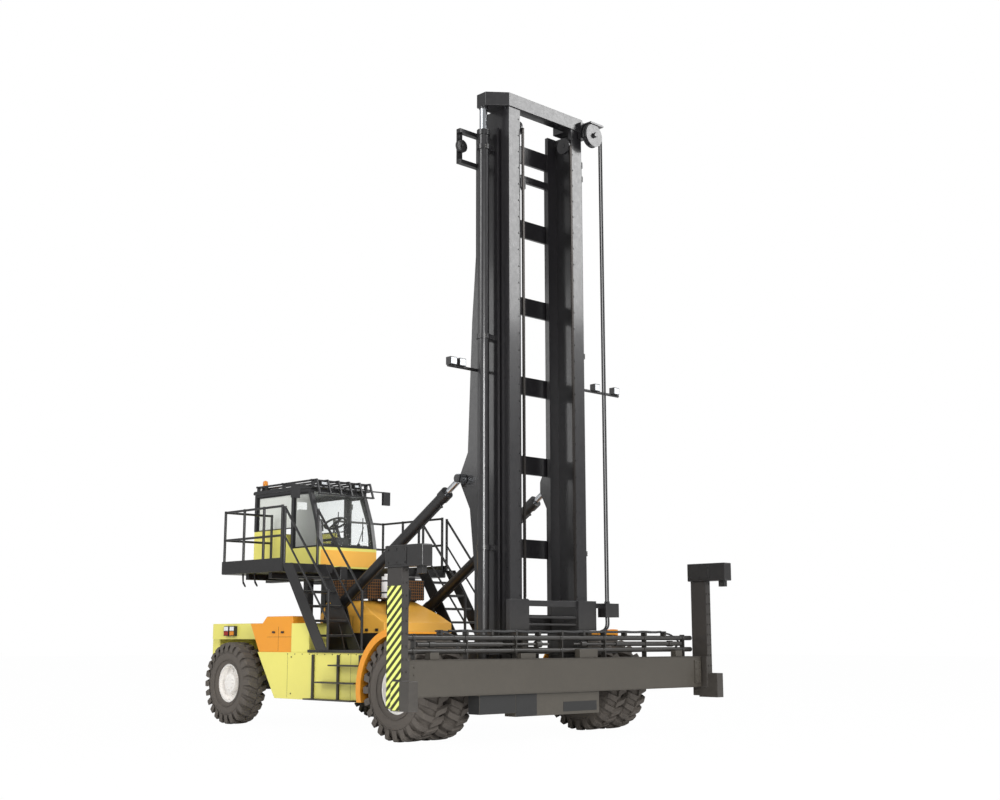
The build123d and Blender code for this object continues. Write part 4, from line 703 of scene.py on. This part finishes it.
def stripRound(outline, y, width, depth):
    # flat strip that follows a closed outline of (x, z) points, width wide towards the inside
    outline = np.array(outline)
    centre = outline.mean(axis=0)
    inside = centre + (outline - centre) * (1 - width / np.linalg.norm(outline - centre, axis=1))[:, None]
    ring = [(x, y0, z) for y0 in (y, y + depth) for x, z in outline]
    innerRing = [(x, y0, z) for y0 in (y, y + depth) for x, z in inside]
    n = len(outline)
    rows = np.array([ring[:n], ring[n:], innerRing[n:], innerRing[:n]])
    return gridPart(rows, wrapRows=True, wrapColumns=True)


seal = {"width": 0.035, "depth": 0.02, "sillZ": 3.18, "headZ": 3.77}
rearPane = [(cab["rear"] + 0.07, seal["sillZ"]), (cab["pillar"] - 0.035, seal["sillZ"]),
            (cab["pillar"] - 0.035, seal["headZ"]), (cab["rear"] + 0.07, seal["headZ"])]
frontPane = [(cab["pillar"] + 0.035, 2.84), (cab["front"] - 0.07, 2.84), (cab["front"] - 0.16, 3.26),
             (cab["roofFront"] - 0.07, seal["headZ"]), (cab["pillar"] + 0.035, seal["headZ"])]
parts = [stripRound(pane, y, seal["width"], seal["depth"])
         for pane, y in ((rearPane, cab["right"] + 0.02), (frontPane, cab["right"] + 0.02),
                         (rearPane, cab["left"] - 0.04))]
addPiece("window_seals", parts, sealRubber, "chassis")

# the cab's front panel takes the lighter yellow copy, with painted light
panel = boxPart((cab["front"], cab["right"] + 0.012, 2.53), (cab["front"] + 0.004, cab["left"] - 0.012, 2.79))
addPiece("cab_front_panel", [panel], paintedLightYellow, "chassis", bevelWidth=0.001)

wipers = {"z": 2.9, "at": ((-0.42, 0.42), (0.1, 0.34)), "arm": 0.008, "blade": 0.009}     # (y, length)
parts = []
for y, length in wipers["at"]:
    pivot = np.array((cab["front"] - 0.012, y, wipers["z"]))
    tip = pivot + (-0.063, 0.16, length * 0.9)
    parts.append(wirePart(pivot, tip, wipers["arm"], 6))
    parts.append(wirePart(tip + (0, -0.02, -0.24), tip + (-0.045, 0.02, 0.16), wipers["blade"], 6))
    parts.append(lathePart([(0.022, 0), (0.022, 0.03)], pivot, (1, 0, 0), 14))
addPiece("wipers", parts, blackPlastic, "chassis")

roofLamps = [(cab["roofFront"] + 0.02, -0.45, 1), (cab["roofFront"] + 0.02, 0.25, 1),
             (cab["rear"] + 0.05, -0.5, -1), (cab["rear"] + 0.05, 0.3, -1)]               # x, y, way it faces
beacon = (cab["rear"] + 0.1, -0.55, cab["top"])
parts, lenses = [], []
roofZ = cab["top"]
for x, y, out in roofLamps:
    lensX = x + out * 0.045
    parts.append(boxPart((x - 0.045, y - 0.07, roofZ + 0.005), (x + 0.045, y + 0.07, roofZ + 0.058)))
    lenses.append(boxPart((lensX - 0.003, y - 0.06, roofZ + 0.012), (lensX + 0.003, y + 0.06, roofZ + 0.052)))
parts.append(lathePart([(0.06, 0.0), (0.06, 0.03), (0.05, 0.035), (0.05, 0.09)], beacon, (0, 0, 1), 24))
parts.append(wirePart((cab["rear"] + 0.1, 0.3, roofZ), (cab["rear"] + 0.05, 0.3, roofZ + 0.27), 0.004, 6))
dome = lathePart([(0.045, 0.09), (0.045, 0.16), (0.036, 0.19), (0.012, 0.2)], beacon, (0, 0, 1), 24)
addPiece("roof_lamps", parts, blackPlastic, "chassis", bevelWidth=0.003)
addPiece("roof_lenses", lenses, lampLens, "chassis")
addPiece("beacon_dome", [dome], amberLens, "chassis")

parts = [boxPart((cab["roofFront"] + 0.013, y - 0.065, cab["top"] - 0.24),
                 (cab["roofFront"] + 0.0152, y + 0.065, cab["top"] - 0.03))
         for y in (cab["left"] + 0.4, cab["right"] - 0.33)]
addPiece("mirror_glass", parts, mirrorGlass, "chassis")


# Cab inside: sprung seat with three crowned pads, dashboard and door pull

seat = {"x": frontX - 4.74, "y": cab["mid"], "floor": 2.545, "armY": 0.27, "armTop": 0.51, "backTilt": 97}


def inCab(x, y, z):
    # a place given from the seat's middle, on the cab's floor
    return (seat["x"] + x, seat["y"] + y, seat["floor"] + z)


def cushion(centre, half, turned, power=0.28, crown=0.12):
    # crowned pad: a superellipsoid |x|^(2/p) + |y|^(2/p) + |z|^(2/p) = 1, its faces swollen by crown, with a
    # sewn channel near each side, tilted by the angle turned about Y
    u = np.linspace(0, 2 * math.pi, 40, endpoint=False)
    v = np.linspace(-math.pi / 2 + 0.05, math.pi / 2 - 0.05, 25)
    cu, su = np.cos(u), np.sin(u)
    cv, sv = np.cos(v), np.sin(v)
    signed = lambda value, e: np.sign(value) * np.abs(value) ** e
    x = np.outer(signed(cv, power), signed(cu, power))
    y = np.outer(signed(cv, power), signed(su, power))
    z = np.outer(signed(sv, power * 1.6), np.ones_like(u))
    z = z * (1 - crown + crown * (1 - x ** 2) * (1 - y ** 2))
    z = z * (1 - 0.10 * np.exp(-((np.abs(y) - 0.62) / 0.05) ** 2))
    x, y, z = x * half[0], y * half[1], z * half[2]
    c, s = math.cos(turned), math.sin(turned)
    spun = np.stack([x * c + z * s, y, z * c - x * s], axis=-1)
    return gridPart(spun + np.array(centre), wrapColumns=True, cap=True)


backTilt = math.radians(seat["backTilt"])
pads = {"seat_cushion": (inCab(0.03, 0, 0.36), (0.23, 0.24, 0.065), 0),
        "seat_back": (inCab(-0.245, 0, 0.71), (0.3, 0.22, 0.06), backTilt),
        "seat_headrest": (inCab(-0.29, 0, 0.96), (0.06, 0.13, 0.045), backTilt)}
for name, (centre, half, turned) in pads.items():
    replaced = ["seat"] if name == "seat_cushion" else ()
    pad = addPiece(name, [cushion(centre, half, turned)], seatCloth, "chassis", replaced=replaced)

parts = [boxPart(inCab(-0.15, -0.19, 0), inCab(0.2, 0.19, 0.04)),
         boxPart(inCab(-0.13, -0.17, 0.23), inCab(0.18, 0.17, 0.295))]
bellows = [(0.14 if k % 2 else 0.155, z) for k, z in enumerate(np.linspace(0.04, 0.23, 12))]
parts.append(lathePart(bellows, inCab(0.02, 0, 0), (0, 0, 1), 24))
for side in (-1, 1):
    y = side * seat["armY"]
    parts.append(boxPart(inCab(-0.17, y - 0.03, seat["armTop"] - 0.04), inCab(0.2, y + 0.03, seat["armTop"])))
    parts.append(boxPart(inCab(-0.17, y - 0.01, 0.27), inCab(-0.12, y + 0.01, seat["armTop"] - 0.04)))
parts.append(wirePart(inCab(0.15, -seat["armY"], 0.5), inCab(0.17, -seat["armY"], 0.66), 0.012, 8))
knob = [(0.012, 0), (0.028, 0.02), (0.028, 0.05), (0.012, 0.07)]
parts.append(lathePart(knob, inCab(0.17, -seat["armY"], 0.65), (0, 0, 1), 16))
addPiece("seat_base", parts, blackPlastic, "chassis", bevelWidth=0.004)

# each box from low to high, with x counted back from the cab's front
dash = [((0.12, cab["mid"] - 0.5, 2.6), (0.06, cab["mid"] + 0.5, 2.86)),
        ((0.2, cab["right"] + 0.05, 2.86), (0.06, cab["left"] - 0.15, 2.9)),
        ((0.36, cab["right"] + 0.06, 3.12), (0.32, cab["right"] + 0.3, 3.32))]
parts = [boxPart((cab["front"] - low[0], *low[1:]), (cab["front"] - high[0], *high[1:]))
         for low, high in dash]
addPiece("dashboard", parts, blackPlastic, "chassis", bevelWidth=0.006)

pull = {"x": frontX - 3.95, "reach": 0.05, "low": 2.86, "high": 3.12, "radius": 0.011}
corners = [(pull["x"], cab["left"] + dy, z) for dy, z in ((0, pull["low"]), (pull["reach"], pull["low"]),
                                                          (pull["reach"], pull["high"]), (0, pull["high"]))]
addPiece("door_pull", [tubePart(bentPath(corners, 0.03), pull["radius"], 8)], blackPlastic, "door")


# Hood: wire screens round the cooler, louvres, latches, seams and the air cleaner's straps and duct

screen = {"x": (frontX - 3.7, frontX - 2.65), "z": (1.97, 2.29), "y": 0.594, "pitch": 0.045, "wire": 0.004}
(x0, x1), (z0, z1) = screen["x"], screen["z"]
levels = np.arange(z0 + 0.03, z1 - 0.02, screen["pitch"])
sideX = np.arange(x0 + 0.06, x1 - 0.02, screen["pitch"])
frontY = np.arange(-0.56, 0.57, screen["pitch"])
wires = []
for side in (-1, 1):
    y = side * screen["y"]
    wires += [((x, y, z0 - 0.01), (x, y, z1 - 0.02)) for x in sideX]
    wires += [((x0 + 0.03, y + side * 0.004, z), (x1, y + side * 0.004, z)) for z in levels]
wires += [((x1 + 0.003, y, z0 - 0.01), (x1 + 0.003, y, z1 - 0.02)) for y in frontY]
wires += [((x1 + 0.007, -0.58, z), (x1 + 0.007, 0.58, z)) for z in levels]
parts = [wirePart(start, end, screen["wire"], 4) for start, end in wires]
addPiece("hood_screen_wires", parts, screenSteel, "chassis")

hoodSide = {"y": 0.69, "louvres": (frontX - 3.55, frontX - 2.95), "louvrePitch": 0.06,
            "latches": (-2.5, -2.25), "seamX": frontX - 2.86}
parts, seams = [], []
for side in (-1, 1):
    ys = ySpan(side, hoodSide["y"], hoodSide["y"] + 0.01)
    for x in np.arange(*hoodSide["louvres"], hoodSide["louvrePitch"]):
        parts.append(boxPart((x, ys[0], 1.5), (x + 0.035, ys[1], 1.68)))
    ys = ySpan(side, hoodSide["y"], hoodSide["y"] + 0.022)
    for x in hoodSide["latches"]:
        parts.append(boxPart((frontX + x - 0.03, ys[0], 1.47), (frontX + x + 0.03, ys[1], 1.51)))
    ys = ySpan(side, hoodSide["y"] - 0.0005, hoodSide["y"] + 0.0015)
    seams.append(boxPart((hoodSide["seamX"], ys[0], 1.46), (hoodSide["seamX"] + 0.006, ys[1], 1.7)))
seams.append(boxPart((frontX - 2.858, -0.5, 1.949), (frontX - 2.852, 0.5, 1.951)))
addPiece("hood_louvres", parts, deckBlack, "chassis", bevelWidth=0.003)
addPiece("hood_seams", seams, sealRubber, "chassis")

cleaner = {"x": frontX - 2.3, "y": -0.37, "straps": (2.06, 2.24), "duct": 0.055}
strap = [(0.162, -0.012), (0.165, -0.01), (0.165, 0.01), (0.162, 0.012)]
parts = [lathePart(strap, (cleaner["x"], cleaner["y"], z), (0, 0, 1), 40) for z in cleaner["straps"]]
corners = [(cleaner["x"], cleaner["y"] + 0.155, 2.12), (cleaner["x"], cleaner["y"] + 0.35, 2.12),
           (cleaner["x"] - 0.1, cleaner["y"] + 0.35, 1.8)]
parts.append(tubePart(bentPath(corners, 0.1), cleaner["duct"], 16))
addPiece("cleaner_straps", parts, blackPlastic, "chassis")


# Side tanks and boxes: bolts, panel seams, handles and filler caps

tank = {"y": 1.6, "boxY": 1.575, "seam": 0.0015, "seamX": (-3.3, -1.72), "boltPitch": 0.19,
        "filler": (-1.5, 1.4, 1.19)}
parts, seams = [], []
for side in (-1, 1):
    face = side * tank["y"]
    for x in (-3.2, -1.45):
        for z in (0.53, 1.08):
            parts.append(hexPart((frontX + x, face, z), (0, side, 0), 0.012, 0.008))
    for x in np.arange(-3.3, -1.4, tank["boltPitch"]):
        parts.append(hexPart((frontX + x, face, 1.125), (0, side, 0), 0.009, 0.006))
    ys = ySpan(side, tank["y"], tank["y"] + tank["seam"])
    for x in tank["seamX"]:
        seams.append(boxPart((frontX + x, ys[0], 0.47), (frontX + x + 0.004, ys[1], 1.14)))
    ys = ySpan(side, tank["boxY"], tank["boxY"] + tank["seam"])
    seams.append(boxPart((frontX - 3.9, ys[0], 1.38), (frontX - 3.25, ys[1], 1.384)))
    seams.append(boxPart((frontX - 3.6, ys[0], 1.17), (frontX - 3.596, ys[1], 1.54)))
    ys = ySpan(side, tank["boxY"], tank["boxY"] + 0.02)
    for x in (-3.72, -3.48):
        parts.append(boxPart((frontX + x - 0.03, ys[0], 1.44), (frontX + x + 0.03, ys[1], 1.47)))
addPiece("side_fasteners", parts, deckBlack, "chassis")
addPiece("side_seams", seams, sealRubber, "chassis")
fillerX, fillerY, fillerZ = tank["filler"]
parts = [lathePart([(0.06, 0), (0.06, 0.03), (0.05, 0.045), (0.02, 0.048)],
                   (frontX + fillerX, side * fillerY, fillerZ), (0, 0, 1), 24) for side in (-1, 1)]
addPiece("filler_caps", parts, blackPlastic, "chassis")

# tail lamps: a red and an amber lens on each side, with a clear one over each
tailLamp = {"y": 1.46, "redX": -5.33, "amberX": -5.16, "length": 0.12, "low": 1.41, "clear": 1.485,
            "height": 0.065}
lenses = {"red": [], "amber": [], "white": []}
for side in (-1, 1):
    ys = ySpan(side, tailLamp["y"], tailLamp["y"] + 0.005)
    for colour in ("red", "amber"):
        x = frontX + tailLamp[f"{colour}X"]
        for group, z in ((colour, tailLamp["low"]), ("white", tailLamp["clear"])):
            lens = boxPart((x, ys[0], z), (x + tailLamp["length"], ys[1], z + tailLamp["height"]))
            lenses[group].append(lens)
for colour, material in (("red", redLens), ("amber", amberLens), ("white", lampLens)):
    addPiece(f"tail_lenses_{colour}", lenses[colour], material, "chassis", bevelWidth=0.001)


# Stairs and deck: grip strips, toe boards and tread plate

stair = {"top": frontX - 3.37, "run": 0.92, "width": 0.26, "deck": 2.52, "foot": 1.19, "steps": 6,
         "y": (1.07, 1.68), "strips": 6, "stripSpan": 0.19}
parts = []
for step in range(1, stair["steps"]):
    share = step / stair["steps"]
    x = stair["top"] + share * stair["run"] + stair["width"] / 2
    z = stair["deck"] - share * (stair["deck"] - stair["foot"])
    for side in (-1, 1):
        ys = ySpan(side, *stair["y"])
        strip = boxPart((x - 0.1, ys[0], z), (x - 0.092, ys[1], z + 0.006))
        parts += repeated(strip, between((0, 0, 0), (stair["stripSpan"], 0, 0), stair["strips"]))
addPiece("stair_grips", parts, boltZinc, "chassis")

deckEdge = {"rear": frontX - 5.08, "front": frontX - 3.37, "outer": 1.7, "board": 0.006, "low": 2.4,
            "high": 2.6, "top": 2.52, "tread": 0.003, "treadInner": {-1: 0.72, 1: 0.52}}
rear, front, board = deckEdge["rear"], deckEdge["front"], deckEdge["board"]
boards, treads = [], []
for side in (-1, 1):
    ys = ySpan(side, deckEdge["outer"], deckEdge["outer"] + board)
    boards.append(boxPart((rear, ys[0], deckEdge["low"]), (front, ys[1], deckEdge["high"])))
    ys = ySpan(side, 0.8, deckEdge["outer"])
    boards.append(boxPart((rear - board, ys[0], deckEdge["low"]), (rear, ys[1], deckEdge["high"])))
    ys = ySpan(side, deckEdge["treadInner"][side], deckEdge["outer"])
    treads.append(boxPart((rear, ys[0], deckEdge["top"]),
                          (front, ys[1], deckEdge["top"] + deckEdge["tread"])))
addPiece("deck_toe_boards", boards, deckBlack, "chassis", bevelWidth=0.002)
addPiece("deck_tread", treads, blackTread, "chassis")

# lamps on the mast's two arms
armLamp = {"x": frontX + 0.38, "ys": (-1.5, -1.33, 1.5, 1.95), "half": 0.05, "z": (5.15, 5.24)}
parts, lenses = [], []
for y in armLamp["ys"]:
    lenses.append(boxPart((armLamp["x"], y - armLamp["half"], armLamp["z"][0]),
                          (armLamp["x"] + 0.004, y + armLamp["half"], armLamp["z"][1])))
    parts.append(boxPart((frontX + 0.3, y - 0.012, 5.115), (frontX + 0.34, y + 0.012, armLamp["z"][0])))
addPiece("arm_lamp_lenses", lenses, lampLens, "mast")
addPiece("arm_lamp_feet", parts, deckBlack, "mast")
print("pieces ready")


# Camera, light and floor

view = {
    "place": (frontX + 14.1, -13.855, 1.344),     # metres, in the machine's frame
    "yaw": 0.812,                        # radians from +Y towards -X
    "pitch": 0.175,                      # radians up
    "focal": 1344.6,                     # pixels of a 1000 pixel wide picture
    "centre": (487.75, 401.67),          # principal point in the 1000 by 800 picture
}
pictureSize = (1000, 800)
yaw, pitch = view["yaw"], view["pitch"]
right = Vector((math.cos(yaw), math.sin(yaw), 0))
ahead = Vector((-math.sin(yaw) * math.cos(pitch), math.cos(yaw) * math.cos(pitch), math.sin(pitch)))
above = right.cross(ahead)
camera = bpy.data.cameras.new("camera")
camera.sensor_width = 36
camera.lens = view["focal"] * camera.sensor_width / pictureSize[0]
camera.shift_x = (pictureSize[0] / 2 - view["centre"][0]) / pictureSize[0]
camera.shift_y = (view["centre"][1] - pictureSize[1] / 2) / pictureSize[0]
camera.clip_end = 300
cameraObject = bpy.data.objects.new("camera", camera)
turn = Matrix((right, above, -ahead)).transposed().to_4x4()
cameraObject.matrix_world = Matrix.Translation(view["place"]) @ turn
scene.collection.objects.link(cameraObject)
scene.camera = cameraObject

studio = {
    "skyStrength": 0.52, "glossySky": 0.4,
    "keyFrom": (1.0, -17.0, 13.0), "keySize": 8.0, "keyPower": 950,
    "fillFrom": (15.0, 13.0, 14.5), "fillSize": 9.0, "fillPower": 1700,
    "frontFrom": (17.0, -9.0, 6.0), "frontSize": 6.0, "frontPower": 2100,
    "rearFrom": (-11.0, -15.0, 9.0), "rearSize": 6.0, "rearPower": 250,
    "floorColour": "#f4f4f4", "floorHalf": 90.0,
}


def areaLamp(name, place, target, size, power):
    lamp = bpy.data.lights.new(name, "AREA")
    lamp.size = size
    lamp.energy = power
    held = bpy.data.objects.new(name, lamp)
    aim = Vector(target) - Vector(place)
    held.matrix_world = Matrix.Translation(place) @ aim.to_track_quat("-Z", "Y").to_matrix().to_4x4()
    scene.collection.objects.link(held)


machineMiddle = (0.5, 0.0, 2.5)
areaLamp("keyLamp", studio["keyFrom"], machineMiddle, studio["keySize"], studio["keyPower"])
areaLamp("fillLamp", studio["fillFrom"], machineMiddle, studio["fillSize"], studio["fillPower"])
areaLamp("frontLamp", studio["frontFrom"], machineMiddle, studio["frontSize"], studio["frontPower"])
areaLamp("rearLamp", studio["rearFrom"], machineMiddle, studio["rearSize"], studio["rearPower"])

world = bpy.data.worlds.new("studio")
world.use_nodes = True
sky = world.node_tree
sky.nodes.clear()
rays = addNode(sky, "ShaderNodeLightPath")
mirrored = addNode(sky, "ShaderNodeMapRange", {"Value": rays.outputs["Is Glossy Ray"],
                                               "To Min": studio["skyStrength"],
                                               "To Max": studio["glossySky"]})
strength = addNode(sky, "ShaderNodeMix", {"Factor": rays.outputs["Is Camera Ray"],
                                          2: mirrored.outputs["Result"], 3: 1.0}, data_type="FLOAT")
backdrop = addNode(sky, "ShaderNodeBackground", {"Color": linear("#ffffff"),
                                                 "Strength": strength.outputs[0]})
addNode(sky, "ShaderNodeOutputWorld", {"Surface": backdrop.outputs[0]})
scene.world = world
scene.view_settings.view_transform = "Standard"


def paleFloor():
    # matt sheet: diffuse for the shadow, with most of what the camera sees kept white
    material, tree, place = startMaterial("paleStudioSheet")
    matt = addNode(tree, "ShaderNodeBsdfDiffuse", {"Color": linear(studio["floorColour"])})
    glow = addNode(tree, "ShaderNodeEmission", {"Color": linear("#ffffff"), "Strength": 1.0})
    ray = addNode(tree, "ShaderNodeLightPath")
    share = addNode(tree, "ShaderNodeMath", {0: ray.outputs["Is Camera Ray"], 1: 0.985}, operation="MULTIPLY")
    mix = addNode(tree, "ShaderNodeMixShader", {"Fac": share.outputs[0], 1: matt.outputs[0],
                                                2: glow.outputs[0]})
    return finishMaterial(material, tree, mix)


half = studio["floorHalf"]
floorCorners = [(-half, -half, 0), (half, -half, 0), (half, half, 0), (-half, half, 0)]
floorMesh = bpy.data.meshes.new("studioFloor")
floorMesh.from_pydata(floorCorners, [], [(0, 1, 2, 3)])
floorMesh.materials.append(paleFloor())
floor = bpy.data.objects.new("studioFloor", floorMesh)
scene.collection.objects.link(floor)
print("camera, lamps and floor ready")
